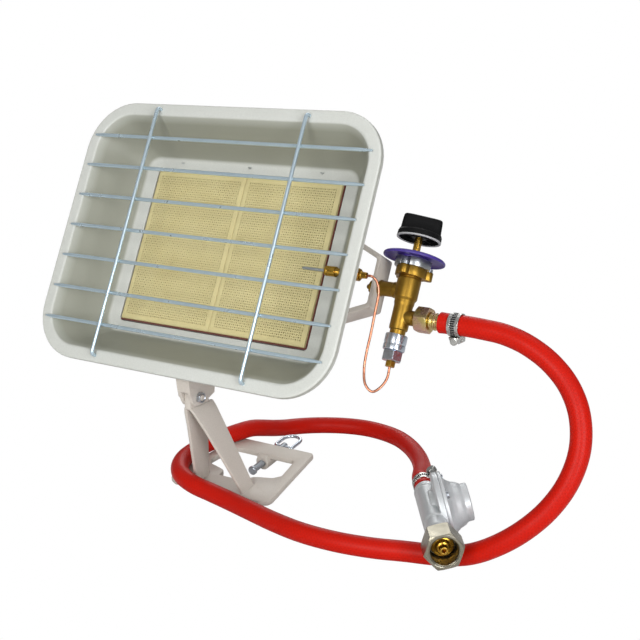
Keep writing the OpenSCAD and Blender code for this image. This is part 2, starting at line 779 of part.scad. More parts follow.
// Everything on the dish's side of the outer face of its bottom wall
module above_bottom_wall() {
    on_bottom_wall() translate([-100, -wall_run - 40, -100]) cube([200, wall_run + 60, 100.02]);
}

module head_bracket() {
    color(paint_warm) difference() {
        union() {
            for (x = [-1, 1]) translate([x > 0 ? cheek_in : -cheek_in - cheek_t, 0, 0])
                rotate([90, 0, 90]) linear_extrude(cheek_t) cheek_outline();
            translate([-cheek_in - cheek_t, 0, 0]) rotate([90, 0, 90])
                linear_extrude(2 * (cheek_in + cheek_t))
                polygon([
                    [hinge_y - lug_r - 4, hinge_z + 6], [hinge_y - lug_r - 1, hinge_z + 4],
                    [hinge_y - lug_r - 3, 130], [hinge_y - 16, 130]]);
            on_bottom_wall() translate([-pad_half, pad_y, 0]) cube([2 * pad_half, pad_len, pad_t]);
        }
        above_bottom_wall();
        translate([-20, hinge_y, hinge_z]) rotate([0, 90, 0])
            cylinder(r = hinge_hole_r, h = 40, $fn = round_fn);
        pad_screw_places() translate([0, 0, -1]) cylinder(r = pad_screw_r, h = pad_t + 2, $fn = 24);
    }
}

module pad_screw_places() {
    for (x = [-1, 1], y = [0.25, 0.75])
        on_bottom_wall() translate([x * (pad_half - 5), pad_y + y * pad_len, 0]) children();
}

module head_bracket_screws() {
    color(zinc) pad_screw_places() {
        translate([0, 0, -dish_wall]) cylinder(r = pad_screw_r, h = dish_wall + pad_t + tiny, $fn = 24);
        translate([0, 0, pad_t]) cylinder(r = 3.4, h = 2.2, $fn = 24);
    }
}

// Stand

module base_plate() {
    slope = (base_front - base_back) / base_len;
    back_y = base_len - back_bar;
    back_x = base_front - slope * back_y - side_bar;
    front_x = base_front - slope * front_bar - side_bar;
    difference() {
        linear_extrude(base_t) difference() {
            polygon([
                [-base_front + corner_r, 0], [base_front - corner_r, 0], [base_front - 1.6, 3.4], [base_front, corner_r],
                [base_back, base_len - 2], [base_back - 2, base_len], [-base_back + 2, base_len],
                [-base_back, base_len - 2], [-base_front, corner_r], [-base_front + 1.6, 3.4]]);
            polygon([
                [-back_x + 3, back_y], [back_x - 3, back_y], [back_x, back_y - 3],
                [front_x, front_bar + 8], [front_x - 5, front_bar + 2], [notch_half + prong_t, front_bar - 1],
                [notch_half + 2, front_bar - 3], [notch_half, front_bar - 6], [notch_half, front_bar - notch_depth],
                [-notch_half, front_bar - notch_depth], [-notch_half, front_bar - 6], [-notch_half - 2, front_bar - 3],
                [-notch_half - prong_t, front_bar - 1], [-front_x + 5, front_bar + 2], [-front_x, front_bar + 8],
                [-back_x, back_y - 3]]);
        }
    }
}

module leg_side_outline() {
    polygon([
        [foot_front, base_t], [foot_back, base_t], [hinge_y + 24, waist_z - 6],
        [hinge_y + 22, waist_z], [hinge_y - 8, waist_z], [hinge_y + 3, waist_z - 20], [hinge_y + 16, waist_z - 48]]);
}

module leg_front_outline() {
    for (x = [-1, 1]) polygon([
        [x * (leg_spread - leg_t / 2), 0], [x * (leg_spread + leg_t / 2), 0],
        [x * (leg_spread * 0.62 + leg_t / 2), waist_z / 2 - 4], [x * leg_t, waist_z], [0, waist_z],
        [0, waist_z - leg_t * 2.2], [x * (leg_spread * 0.62 - leg_t / 2), waist_z / 2 - 4]]);
}

module stand_frame() {
    color(paint_warm) difference() {
        union() {
            stand_space() base_plate();
            intersection() {
                rotate([90, 0, 90]) linear_extrude(200, center = true) leg_side_outline();
                translate([0, 100, 0]) rotate([90, 0, 0]) linear_extrude(200) leg_front_outline();
            }
            translate([-lug_t / 2, 0, 0]) rotate([90, 0, 90]) linear_extrude(lug_t) polygon([
                [hinge_y - 7.4, waist_z - 1], [hinge_y + 20, waist_z - 1], [hinge_y + 14, hinge_z - 4],
                [hinge_y + 5, hinge_z + 5], [hinge_y - 5, hinge_z + 5], [hinge_y - 7.4, hinge_z]]);
            translate([-lug_t / 2, hinge_y, hinge_z]) rotate([0, 90, 0])
                cylinder(r = lug_r, h = lug_t, $fn = round_fn);
            stand_space() translate([0, barrel_front, screw_axis_z]) rotate([-90, 0, 0])
                cylinder(r = barrel_r, h = base_len - barrel_front - 1, $fn = round_fn);
            stand_space() translate([-3, barrel_front, screw_axis_z])
                cube([6, base_len - barrel_front - 1, barrel_r + 1]);
            stand_space() for (x = [-1, 1]) translate([x * leg_spread - 2, foot_front, 0.5])
                cube([4, foot_back - foot_front, base_t]);
        }
        stand_space() translate([0, 0, screw_axis_z]) rotate([-90, 0, 0])
            cylinder(r = screw_r + run_fit, h = 200, $fn = round_fn);
        translate([-30, hinge_y, hinge_z]) rotate([0, 90, 0])
            cylinder(r = hinge_hole_r, h = 60, $fn = round_fn);
    }
}

module hinge_pin() {
    half = cheek_in + cheek_t;
    color(paint_warm) translate([0, hinge_y, hinge_z]) rotate([0, 90, 0]) {
        translate([0, 0, -half - 7]) cylinder(r = hinge_pin_r, h = 2 * half + 11, $fn = round_fn);
        translate([0, 0, -half - 7]) cylinder(r = hinge_pin_r + 0.6, h = 6.5, $fn = round_fn);
    }
}

module hinge_nut() {
    half = cheek_in + cheek_t;
    color(zinc) translate([half + 0.1, hinge_y, hinge_z]) rotate([0, 90, 0])
        hexagon(8, 3.5, hinge_pin_r + 0.02);
}

module clamp_tip() {
    color(zinc) stand_space() translate([0, screw_tip_y - tip_len, screw_axis_z]) rotate([-90, 0, 0])
        difference() {
        cylinder(r = tip_r, h = tip_len, $fn = round_fn);
        translate([0, 0, tip_len - neck_len]) cylinder(r = tip_neck_r + run_fit, h = 5, $fn = 24);
    }
}

module clamp_screw() {
    color(zinc) stand_space() translate([0, screw_tip_y, screw_axis_z]) rotate([-90, 0, 0]) difference() {
        union() {
            translate([0, 0, 0.1]) cylinder(r = screw_r, h = screw_len, $fn = round_fn);
            translate([0, 0, -neck_len + 0.1]) cylinder(r = tip_neck_r, h = neck_len + 1, $fn = 24);
        }
        translate([0, 0, screw_len - 4]) rotate([0, 90, 0])
            cylinder(r = handle_r, h = 20, center = true, $fn = 24);
    }
}

module clamp_handle() {
    color(zinc) stand_space() translate([0, screw_tip_y + screw_len - 4, screw_axis_z]) {
        translate([-handle_half, 0, 0]) rotate([0, 90, 0])
            cylinder(r = handle_r, h = 2 * handle_half, $fn = 24);
        for (x = [-1, 1]) {
            translate([x * handle_half, 0, 0]) sphere(handle_r, $fn = 24);
            translate([x * handle_half, 0, 0]) rotate([-90, 0, 0])
                cylinder(r = handle_r, h = handle_deep - handle_half, $fn = 24);
        }
        translate([0, handle_deep - handle_half, 0]) rotate_extrude(angle = 180, $fn = round_fn)
            translate([handle_half, 0]) circle(handle_r, $fn = 24);
    }
}

// Hose and regulator

module gas_hose() {
    color("#d02818") swept_tube(spline(hose_points, 1), hose_r, hose_sides, [0, 0, 1]);
}

module regulator_body() {
    color("#9ca2a6") regulator_frame() difference() {
        union() {
            rotate([0, 90, 0]) cylinder(r = reg_barrel_r, h = reg_end - 2, $fn = round_fn);
            translate([reg_disc_x, 0, 0])
                cylinder(r = reg_disc_r * 0.55, h = reg_disc_low + 1, $fn = round_fn);
            translate([reg_disc_x, 0, reg_disc_low]) cylinder(r = reg_disc_r, h = reg_disc_t, $fn = 72);
        }
        translate([reg_disc_x, 0, reg_disc_low + 2]) cylinder(r = reg_disc_r - 6, h = 10, $fn = 72);
        translate([-1, 0, 0]) rotate([0, 90, 0]) cylinder(r = 3, h = 200, $fn = 24);
        for (a = [45 : 90 : 360]) translate([reg_disc_x, 0, 0]) rotate([0, 0, a])
            translate([reg_disc_r - 3.5, 0, 0]) cylinder(r = cover_screw_r - 0.3, h = 20, $fn = 24);
    }
}

module regulator_diaphragm() {
    color("#303030") regulator_frame() translate([reg_disc_x, 0, reg_disc_low + reg_disc_t])
        difference() {
            cylinder(r = reg_disc_r - 7.4, h = 0.8, $fn = 72);
            translate([0, 0, -1]) cylinder(r = 1, h = 3, $fn = 24);
        }
}

module regulator_spring() {
    color(zinc) regulator_frame() translate([reg_disc_x, 0, reg_disc_low + reg_disc_t + 0.8])
        tube(7, 5.8, 10);
}

module regulator_cover() {
    base = reg_disc_low + reg_disc_t;
    color("#a4aaae") regulator_frame() translate([reg_disc_x, 0, base]) difference() {
        rotate_extrude($fn = 72) polygon([
            [0, 0], [reg_disc_r, 0], [reg_disc_r, 3], [reg_disc_r - 6.8, 3], [reg_boss_r + 2, reg_cover_t - 4],
            [reg_boss_r, reg_cover_t - 3], [reg_boss_r, reg_cover_t + 2], [0, reg_cover_t + 2]]);
        rotate_extrude($fn = 72) polygon([
            [0, -1], [reg_disc_r - 6, -1], [reg_disc_r - 7, 1.5], [reg_boss_r - 2, reg_cover_t - 6], [0, reg_cover_t - 6]]);
        translate([0, 0, 2]) cylinder(r = 9, h = 40, $fn = round_fn);
        for (a = [45 : 90 : 360]) rotate([0, 0, a])
            translate([reg_disc_r - 3.5, 0, -1]) cylinder(r = cover_screw_r, h = 20, $fn = 24);
    }
}

module cover_screws() {
    color(zinc) regulator_frame() for (a = [45 : 90 : 360]) translate([reg_disc_x, 0, 0]) rotate([0, 0, a])
        translate([reg_disc_r - 3.5, 0, 0]) {
            translate([0, 0, reg_disc_low + 0.5])
                cylinder(r = cover_screw_r - 0.3, h = reg_disc_t + 2.6, $fn = 24);
            translate([0, 0, reg_disc_low + reg_disc_t + 3]) cylinder(r = 2.7, h = 1.8, $fn = 24);
        }
}

module adjuster_cap() {
    color("#8e9498") regulator_frame()
        translate([reg_disc_x, 0, reg_disc_low + reg_disc_t + reg_cover_t - 1.5])
            cylinder(r = 9, h = 2.5, $fn = round_fn);
}

module outlet_clamp_band() {
    color("#b8b8b4") regulator_frame() translate([-14, 0, 0]) rotate([0, 90, 0]) clamp_band(0.2);
}

module outlet_clamp_screw() {
    color("#c4c4c0") regulator_frame() translate([-14, 0, 0]) rotate([0, 90, 0]) rotate([0, 0, 200])
        clamp_worm(0.2);
}

module inlet_nipple() {
    color(brass) regulator_frame() rotate([0, 90, 0]) difference() {
        union() {
            translate([0, 0, reg_end - 2])
                cylinder(r = 7, h = nut_start + 3 + move_gap - reg_end + 2, $fn = round_fn);
            translate([0, 0, nut_start + 3 + move_gap]) cylinder(r = cone_r, h = 3, $fn = round_fn);
            translate([0, 0, nut_start + 6 + move_gap])
                cylinder(r1 = cone_r, r2 = nipple_r + 1, h = 4, $fn = round_fn);
            translate([0, 0, nut_start + 10 + move_gap]) cylinder(r = nipple_r, h = 8, $fn = round_fn);
        }
        cylinder(r = 1.6, h = 200, $fn = 24);
    }
}

module union_nut() {
    color("#b0ac9c") regulator_frame() translate([nut_start, 0, 0]) rotate([0, 90, 0]) difference() {
        hexagon(nut_af, nut_len);
        translate([0, 0, 3]) cylinder(r = nut_bore_r, h = nut_len, $fn = round_fn);
        translate([0, 0, -1]) cylinder(r = 7 + run_fit, h = 10, $fn = round_fn);
    }
}

reflector_dish();
guard_cross_wires();
guard_upright_wires();
burner_tile_left();
burner_tile_right();
tile_gasket();
burner_housing();
housing_screws();
baffle_plate();
venturi_tube();
thermocouple_probe();
thermocouple_inner_nut();
thermocouple_outer_nut();
thermocouple_ferrule();
thermocouple_lead();
valve_bracket();
bracket_screws();
gas_jet();
valve_body();
valve_plug();
valve_flange();
valve_collar();
collar_screws();
indicator_disc();
valve_stem();
stem_spring();
control_knob();
magnet_housing();
magnet_hexagon();
lead_nut();
inlet_union_nut();
inlet_hose_barb();
inlet_clamp_band();
inlet_clamp_screw();
head_bracket();
head_bracket_screws();
stand_frame();
hinge_pin();
hinge_nut();
clamp_tip();
clamp_screw();
clamp_handle();
gas_hose();
regulator_body();
regulator_diaphragm();
regulator_spring();
regulator_cover();
cover_screws();
adjuster_cap();
outlet_clamp_band();
outlet_clamp_screw();
inlet_nipple();
union_nut();
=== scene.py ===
"""Portable propane heater: the visible model, built round its fixed frame.

Sizes are millimetres in the code and metres in the meshes. Every piece is made at rest, in the frame's own
axes: +Z up, +X to the right along the dish, -Y to the front.
"""

import json
import logging
from dataclasses import dataclass, field
from enum import Enum
from math import asin, copysign, cos, exp, hypot, pi, radians, sin, sqrt
from typing import Callable, Optional, Sequence

import bmesh
import bpy
import numpy as np
from bmesh.types import BMesh, BMVert
from bpy.types import Node, NodeSocket, Object, ShaderNodeTree
from mathutils import Matrix, Vector

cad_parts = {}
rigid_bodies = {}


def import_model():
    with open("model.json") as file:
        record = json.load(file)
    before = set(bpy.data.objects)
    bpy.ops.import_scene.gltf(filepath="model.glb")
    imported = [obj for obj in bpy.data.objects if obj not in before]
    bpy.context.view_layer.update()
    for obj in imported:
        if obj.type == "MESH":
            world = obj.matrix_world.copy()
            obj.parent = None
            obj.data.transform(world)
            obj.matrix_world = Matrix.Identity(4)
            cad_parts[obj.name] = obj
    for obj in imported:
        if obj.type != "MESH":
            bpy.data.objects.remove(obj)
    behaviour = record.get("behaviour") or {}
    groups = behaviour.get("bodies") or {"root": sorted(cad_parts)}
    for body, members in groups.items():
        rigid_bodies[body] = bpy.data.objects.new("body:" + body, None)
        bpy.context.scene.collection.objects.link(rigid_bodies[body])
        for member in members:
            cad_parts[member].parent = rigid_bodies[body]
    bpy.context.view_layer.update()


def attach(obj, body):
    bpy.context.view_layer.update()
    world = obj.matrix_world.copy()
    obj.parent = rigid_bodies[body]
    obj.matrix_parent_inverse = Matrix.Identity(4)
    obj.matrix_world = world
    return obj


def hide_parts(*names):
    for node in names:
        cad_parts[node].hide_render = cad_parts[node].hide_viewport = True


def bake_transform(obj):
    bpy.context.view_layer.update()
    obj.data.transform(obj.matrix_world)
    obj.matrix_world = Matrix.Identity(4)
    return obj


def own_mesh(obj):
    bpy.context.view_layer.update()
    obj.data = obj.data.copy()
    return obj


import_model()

logging.basicConfig(level=logging.INFO, format="%(message)s")
LOG = logging.getLogger("heater")
MM = 0.001
Flat = tuple[float, float]
Point = tuple[float, float, float]
Colour = tuple[float, float, float, float]
Layers = tuple[NodeSocket, NodeSocket, NodeSocket]


class Body(str, Enum):
    """The rigid bodies that pieces ride on."""

    STAND = "stand"
    HEAD = "head"
    KNOB = "knob"
    SCREW_TIP = "screw_tip"
    SCREW = "clamp_screw"
    NUT = "union_nut"


def srgb(red: int, green: int, blue: int) -> Colour:
    """Converts an 8-bit display colour to the linear values that shaders use.

    Args:
        red, green, blue: channel values from 0 to 255.
    Returns:
        Linear red, green, blue and an alpha of 1.
    """
    def linear(value: float) -> float:
        """Converts one channel."""
        value /= 255.0
        return value / 12.92 if value <= 0.04045 else ((value + 0.055) / 1.055) ** 2.4

    return (linear(red), linear(green), linear(blue), 1.0)


# Frames of reference -------------------------------------------------------------------------------

# How far the dish leans back, and the middle of its rim.
LEAN = radians(26)
FACE = Vector((0, -13, 220.4))
# The valve's axis and the flame probe's, in the head: U runs along the dish, V up its face and W out of it.
VALVE_U, VALVE_V, VALVE_W = 157.0, 0.0, -60.0
PROBE_V, PROBE_W = -5.0, -36.0
# How far the base plate tips: it stands on its front edge and on the screw barrel, 68 mm back, 9.5 mm down.
BASE_TIP = asin(9.5 / hypot(68, 9.5)) * 0.999
HINGE = Vector((0, -27, 95))
# The regulator lies on the rim of its diaphragm housing, 14 degrees from upright. REG_END is its hose end.
REG_LEAN = radians(14)
REG_Z = 27.5 * cos(REG_LEAN) - 5 * sin(REG_LEAN)
REG_END = Vector((170, 50, REG_Z))
REG_HEADING = radians(-56.5)
REG_ROLL = radians(-76)
REG_DIR = Vector((cos(REG_HEADING), sin(REG_HEADING), 0))

HEAD = Matrix.Translation(FACE) @ Matrix.Rotation(pi / 2 - LEAN, 4, "X")
VALVE = HEAD @ Matrix.Translation((VALVE_U, VALVE_V, VALVE_W)) @ Matrix.Rotation(-pi / 2, 4, "X")
STAND = Matrix.Rotation(BASE_TIP, 4, "X")
REGULATOR = (Matrix.Translation(REG_END) @ Matrix.Rotation(REG_HEADING, 4, "Z")
             @ Matrix.Rotation(REG_ROLL, 4, "X"))
WORLD = Matrix.Identity(4)


def along_u(u: float, v: float, w: float) -> Matrix:
    """A frame in the head whose Z runs along the dish to the right.

    Args:
        u, v, w: the frame's origin in the head, in millimetres.
    Returns:
        The frame's matrix.
    """
    return HEAD @ Matrix.Translation((u, v, w)) @ Matrix.Rotation(pi / 2, 4, "Y")


def along_barrel(x: float) -> Matrix:
    """A frame on the regulator's barrel whose Z runs towards the union nut.

    Args:
        x: distance from the hose's end, in millimetres.
    Returns:
        The frame's matrix.
    """
    return REGULATOR @ Matrix.Translation((x, 0, 0)) @ Matrix.Rotation(pi / 2, 4, "Y")


def along_screw(y: float) -> Matrix:
    """A frame on the clamp screw's axis whose Z runs to the back.

    Args:
        y: distance from the stand's front edge, in millimetres.
    Returns:
        The frame's matrix.
    """
    return STAND @ Matrix.Translation((0, y, -3)) @ Matrix.Rotation(-pi / 2, 4, "X")


# Mesh making ---------------------------------------------------------------------------------------

def shade(mesh: bpy.types.Mesh, sharp: float) -> None:
    """Shades a mesh smooth, except across edges sharper than an angle in degrees."""
    for poly in mesh.polygons:
        poly.use_smooth = True
    mesh.set_sharp_from_angle(angle=radians(sharp))


def finish_mesh(name: str, bm: BMesh, place: Matrix = WORLD, sharp: float = 35.0,
                merge: float = 1e-4) -> Object:
    """Turns a bmesh in millimetres into an object in metres, with its place in the mesh.

    Args:
        name: the piece's name.
        bm: the mesh, which is freed.
        place: the frame that the mesh is in.
        sharp: the angle in degrees above which an edge stays sharp.
        merge: distance in millimetres below which vertices are merged.
    Returns:
        The new object, linked to the scene.
    """
    if merge > 0:
        bmesh.ops.remove_doubles(bm, verts=bm.verts[:], dist=merge)
    bmesh.ops.recalc_face_normals(bm, faces=bm.faces[:])
    bm.transform(Matrix.Scale(MM, 4) @ place)
    mesh = bpy.data.meshes.new(name)
    bm.to_mesh(mesh)
    bm.free()
    shade(mesh, sharp)
    obj = bpy.data.objects.new(name, mesh)
    bpy.context.scene.collection.objects.link(obj)
    LOG.info("%s: %d faces", name, len(mesh.polygons))
    return obj


def polar(radius: float, angle: float, height: float = 0.0) -> Vector:
    """The point at a distance from Z and an angle round it."""
    return Vector((radius * cos(angle), radius * sin(angle), height))


def ring_grid(bm: BMesh, loops: Sequence[Sequence[Vector]], wrap: bool = False,
              cap_start: bool = False, cap_end: bool = False, material: int = 0) -> None:
    """Joins closed loops of equal length into a skin.

    Args:
        bm: the mesh that the skin goes into.
        loops: the loops in order.
        wrap: whether the last loop joins the first.
        cap_start, cap_end: whether the first or last loop is filled.
        material: material slot of the new faces.
    """
    rows = [[bm.verts.new(p) for p in loop] for loop in loops]
    count = len(rows[0])
    pairs = list(zip(rows[:-1], rows[1:])) + ([(rows[-1], rows[0])] if wrap else [])
    for low, high in pairs:
        for i in range(count):
            j = (i + 1) % count
            bm.faces.new((low[i], low[j], high[j], high[i])).material_index = material
    if cap_start:
        bm.faces.new(rows[0]).material_index = material
    if cap_end:
        bm.faces.new(rows[-1]).material_index = material


def circle_loop(radius: float, z: float, sides: int = 48, turn: float = 0.0) -> list[Vector]:
    """Points of a circle round Z.

    Args:
        radius, z: the circle's radius and height in millimetres.
        sides: number of points.
        turn: angle of the first point in radians.
    Returns:
        The points.
    """
    angles = (turn + 2 * pi * k / sides for k in range(sides))
    return [polar(radius, a, z) for a in angles]


def round_outline(radius: float, steps: int, x: float = 0.0, y: float = 0.0, turn: int = -1) -> list[Flat]:
    """A round outline for a hole in a plate.

    Args:
        radius: the hole's radius.
        steps: number of points.
        x, y: the hole's middle.
        turn: 1 to go round anticlockwise, -1 for clockwise.
    Returns:
        The outline.
    """
    angles = (2 * pi * k / steps for k in range(steps))
    return [(x + radius * cos(a), y + turn * radius * sin(a)) for a in angles]


def rounded_loop(half_w: float, half_h: float, radius: float, w: float, corner: int = 10,
                 side: int = 6) -> list[Vector]:
    """Points of a rounded rectangle round Z.

    Args:
        half_w, half_h: half of its width and height.
        radius: corner radius.
        w: height along Z.
        corner, side: points in each corner and on each side.
    Returns:
        The points.
    """
    points: list[Vector] = []
    for q, (sx, sy) in enumerate(((1, 1), (-1, 1), (-1, -1), (1, -1))):
        centre = Vector((sx * (half_w - radius), sy * (half_h - radius), w))
        for k in range(corner + 1):
            a = pi / 2 * (q + k / corner)
            points.append(centre + polar(radius, a))
        nxt = ((-1, 1), (-1, -1), (1, -1), (1, 1))[q]
        a = pi / 2 * (q + 1)
        target = Vector((nxt[0] * (half_w - radius), nxt[1] * (half_h - radius), w)) + polar(radius, a)
        last = points[-1]
        for k in range(1, side):
            points.append(last.lerp(target, k / side))
    return points


def revolve(name: str, profile: Sequence[Flat], place: Matrix, sides: int = 64,
            sharp: float = 35.0, bevel: float = 0.0) -> Object:
    """Spins a profile of (radius, height) round the frame's Z.

    Args:
        name: the piece's name.
        profile: the profile's points in millimetres.
        place: the frame.
        sides: number of steps round.
        sharp: smoothing angle in degrees.
        bevel: width of the bevel on the profile's corners.
    Returns:
        The new object.
    """
    bm = bmesh.new()
    verts = [bm.verts.new((r, 0, z)) for r, z in round_corners(profile, bevel)]
    edges = [bm.edges.new(pair) for pair in zip(verts[:-1], verts[1:])]
    bmesh.ops.spin(bm, geom=verts + edges, axis=(0, 0, 1), cent=(0, 0, 0), steps=sides, angle=2 * pi,
                   use_merge=True)
    return finish_mesh(name, bm, place, sharp, merge=1e-3)


def round_corners(profile: Sequence[Flat], width: float) -> list[Flat]:
    """Replaces a profile's inner corners by short arcs.

    Args:
        profile: points of an open profile.
        width: how far from a corner its arc starts.
    Returns:
        The softened profile.
    """
    if width <= 0:
        return list(profile)
    out = [tuple(profile[0])]
    for a, b, c in zip(profile[:-2], profile[1:-1], profile[2:]):
        pa, pb, pc = Vector(a), Vector(b), Vector(c)
        to_a, to_c = pa - pb, pc - pb
        reach = min(width, to_a.length * 0.45, to_c.length * 0.45)
        if reach < 1e-4 or abs(to_a.normalized().dot(to_c.normalized())) > 0.995:
            out.append(tuple(b))
            continue
        start, stop = pb + to_a.normalized() * reach, pb + to_c.normalized() * reach
        for k in range(4):
            t = k / 3
            out.append(tuple(start * (1 - t) ** 2 + pb * 2 * t * (1 - t) + stop * t ** 2))
    out.append(tuple(profile[-1]))
    return out


def plate(name: str, outlines: Sequence[Sequence[Flat]], low: float, high: float, place: Matrix,
          bevel: float = 0.5, smooth: float = 0.0) -> Object:
    """Cuts a flat plate with rounded edges from outlines, of which inner ones are holes.

    Args:
        name: the piece's name.
        outlines: closed outlines in the frame's XY plane.
        low, high: the plate's faces along Z.
        place: the frame.
        bevel: radius of the rounded edges.
        smooth: how far corners of the outlines are cut back into arcs.
    Returns:
        The new object.
    """
    curve = bpy.data.curves.new(name, "CURVE")
    curve.dimensions = "2D"
    curve.fill_mode = "BOTH"
    for outline in outlines:
        points = soften_outline(outline, smooth) if smooth else list(outline)
        spline = curve.splines.new("POLY")
        spline.points.add(len(points) - 1)
        for slot, (x, y) in zip(spline.points, points):
            slot.co = (x, y, 0, 1)
        spline.use_cyclic_u = True
    curve.extrude = max((high - low) / 2 - bevel, 0.01)
    curve.bevel_depth = bevel
    curve.bevel_resolution = 1
    curve.offset = -bevel
    holder = bpy.data.objects.new(name + "_outline", curve)
    bpy.context.scene.collection.objects.link(holder)
    bpy.context.view_layer.update()
    mesh = bpy.data.meshes.new_from_object(holder.evaluated_get(bpy.context.evaluated_depsgraph_get()))
    bpy.data.objects.remove(holder)
    bm = bmesh.new()
    bm.from_mesh(mesh)
    bpy.data.meshes.remove(mesh)
    bmesh.ops.translate(bm, verts=bm.verts[:], vec=(0, 0, (low + high) / 2))
    return finish_mesh(name, bm, place, 40.0, merge=1e-3)


def soften_outline(outline: Sequence[Flat], width: float) -> list[Flat]:
    """Rounds the corners of a closed outline.

    Args:
        outline: the outline's points.
        width: how far from a corner its arc starts.
    Returns:
        The rounded outline.
    """
    closed = [outline[-1], *outline, outline[0]]
    inner = round_corners(closed, width)
    return inner[1:-1]


def catmull(points: Sequence[Vector], steps: int) -> list[Vector]:
    """A smooth curve through points.

    Args:
        points: the points in order.
        steps: number of pieces between two points.
    Returns:
        The curve's points, the last one included.
    """
    out: list[Vector] = []
    for i in range(len(points) - 1):
        a, b, c, d = points[max(i - 1, 0)], points[i], points[i + 1], points[min(i + 2, len(points) - 1)]
        for k in range(steps):
            t = k / steps
            out.append(0.5 * (2 * b + (c - a) * t + (2 * a - 5 * b + 4 * c - d) * t ** 2
                              + (3 * b - a - 3 * c + d) * t ** 3))
    return out + [points[-1].copy()]


def even_spacing(points: Sequence[Vector], gap: float) -> list[Vector]:
    """Spaces a curve's points evenly.

    Args:
        points: the curve.
        gap: wanted distance between points.
    Returns:
        The evenly spaced curve.
    """
    lengths = np.cumsum([0.0] + [(b - a).length for a, b in zip(points[:-1], points[1:])])
    count = max(2, round(lengths[-1] / gap))
    wanted = np.linspace(0, lengths[-1], count + 1)
    axes = [np.interp(wanted, lengths, [p[i] for p in points]) for i in range(3)]
    return [Vector(p) for p in zip(*axes)]


def sweep_loops(points: Sequence[Vector], radius: Callable[[float], float], sides: int,
                first: Vector = Vector((0, 0, 1))) -> list[list[Vector]]:
    """Rings round a curve, with no twist.

    Args:
        points: the curve.
        radius: the ring's radius for a distance along the curve.
        sides: points in a ring.
        first: a direction across the curve at its start.
    Returns:
        The rings.
    """
    loops: list[list[Vector]] = []
    normal = first.copy()
    run = 0.0
    for i, p in enumerate(points):
        ahead = (points[min(i + 1, len(points) - 1)] - points[max(i - 1, 0)]).normalized()
        if not i and abs(normal.dot(ahead)) > 0.9:
            normal = Vector((1, 0, 0))
        normal = (normal - normal.dot(ahead) * ahead).normalized()
        side = ahead.cross(normal)
        if i:
            run += (p - points[i - 1]).length
        r = radius(run)
        loops.append([p + r * (cos(a) * normal + sin(a) * side)
                      for a in (2 * pi * k / sides for k in range(sides))])
    return loops


def sweep(name: str, points: Sequence[Vector], radius: float, place: Matrix, sides: int = 16,
          tip: float = 0.0) -> Object:
    """A round rod along a curve, with its ends rounded.

    Args:
        name: the piece's name.
        points: the curve.
        radius: the rod's radius.
        place: the frame.
        sides: points round the rod.
        tip: how far back from each end the rounding starts.
    Returns:
        The new object.
    """
    total = sum((b - a).length for a, b in zip(points[:-1], points[1:]))

    def taper(run: float) -> float:
        """The rod's radius at a distance along it."""
        edge = min(run, total - run)
        if tip <= 0 or edge >= tip:
            return radius
        return radius * max(0.55, sqrt(max(0.0, 1 - (1 - edge / tip) ** 2)))

    bm = bmesh.new()
    ring_grid(bm, sweep_loops(points, taper, sides), cap_start=True, cap_end=True)
    return finish_mesh(name, bm, place, 50.0)


def hexagon(name: str, flats: float, length: float, place: Matrix, bore: float = 0.0, sides: int = 72,
            thread: float = 0.0, floor: float = 0.0) -> Object:
    """A hexagon nut with rounded chamfers and, if asked, a bore with a thread in it.

    Args:
        name: the piece's name.
        flats: distance across the flats.
        length: height along Z.
        place: the frame; the nut stands on its origin.
        bore: radius of the bore, or 0 for none.
        sides: steps round, a multiple of 6.
        thread: pitch of the bore's thread, or 0 for none.
        floor: thickness that closes the bore's start, with a smaller hole.
    Returns:
        The new object.
    """
    rim = flats * 0.515
    chamfer_slope = 0.62
    soft = min(0.35, length * 0.08)
    steps_per_turn = 6
    thread_depth = 0.45
    floor_hole = 7.1

    def corner(k: int) -> Flat:
        """The angle of a step round, and the hexagon's radius there."""
        a = 2 * pi * k / sides
        folded = (a % (pi / 3)) - pi / 6
        return a, flats / 2 / cos(folded)

    def loop(kind: str) -> list[Vector]:
        """The ring at one level: a face, the edge beside it, or the end of the chamfer."""
        points = []
        for k in range(sides):
            a, r = corner(k)
            drop = max(0.0, r - rim) * chamfer_slope
            z, rr = {"low_face": (0.0, min(r, rim) - soft), "low_edge": (soft, min(r, rim)),
                     "low": (soft + drop, r), "high": (length - soft - drop, r),
                     "high_edge": (length - soft, min(r, rim)),
                     "high_face": (length, min(r, rim) - soft)}[kind]
            points.append(polar(rr, a, z))
        return points

    loops = [loop(kind) for kind in ("low_face", "low_edge", "low", "high", "high_edge", "high_face")]
    bm = bmesh.new()
    if bore <= 0:
        ring_grid(bm, loops, cap_start=True, cap_end=True)
        return finish_mesh(name, bm, place, 32.0)
    inner: list[list[Vector]] = [circle_loop(bore + 0.9, length, sides),
                                 circle_loop(bore + 0.2, length - 0.7, sides)]
    start = floor
    if thread > 0:
        steps = int((length - 1 - start) / thread * steps_per_turn)
        for s in range(steps + 1):
            z = length - 1 - (length - 1 - start) * s / steps
            ring = []
            for k in range(sides):
                a = 2 * pi * k / sides
                phase = (z / thread - a / (2 * pi)) % 1.0
                depth = thread_depth * (1 - abs(2 * phase - 1))
                ring.append(polar(bore - depth, a, z))
            inner.append(ring)
    else:
        inner.append(circle_loop(bore, length - 1, sides))
        inner.append(circle_loop(bore, start, sides))
    if floor > 0:
        inner.append(circle_loop(floor_hole, start, sides))
    inner.append(circle_loop(floor_hole if floor > 0 else bore, 0.0, sides))
    ring_grid(bm, loops + inner, wrap=True)
    return finish_mesh(name, bm, place, 32.0)


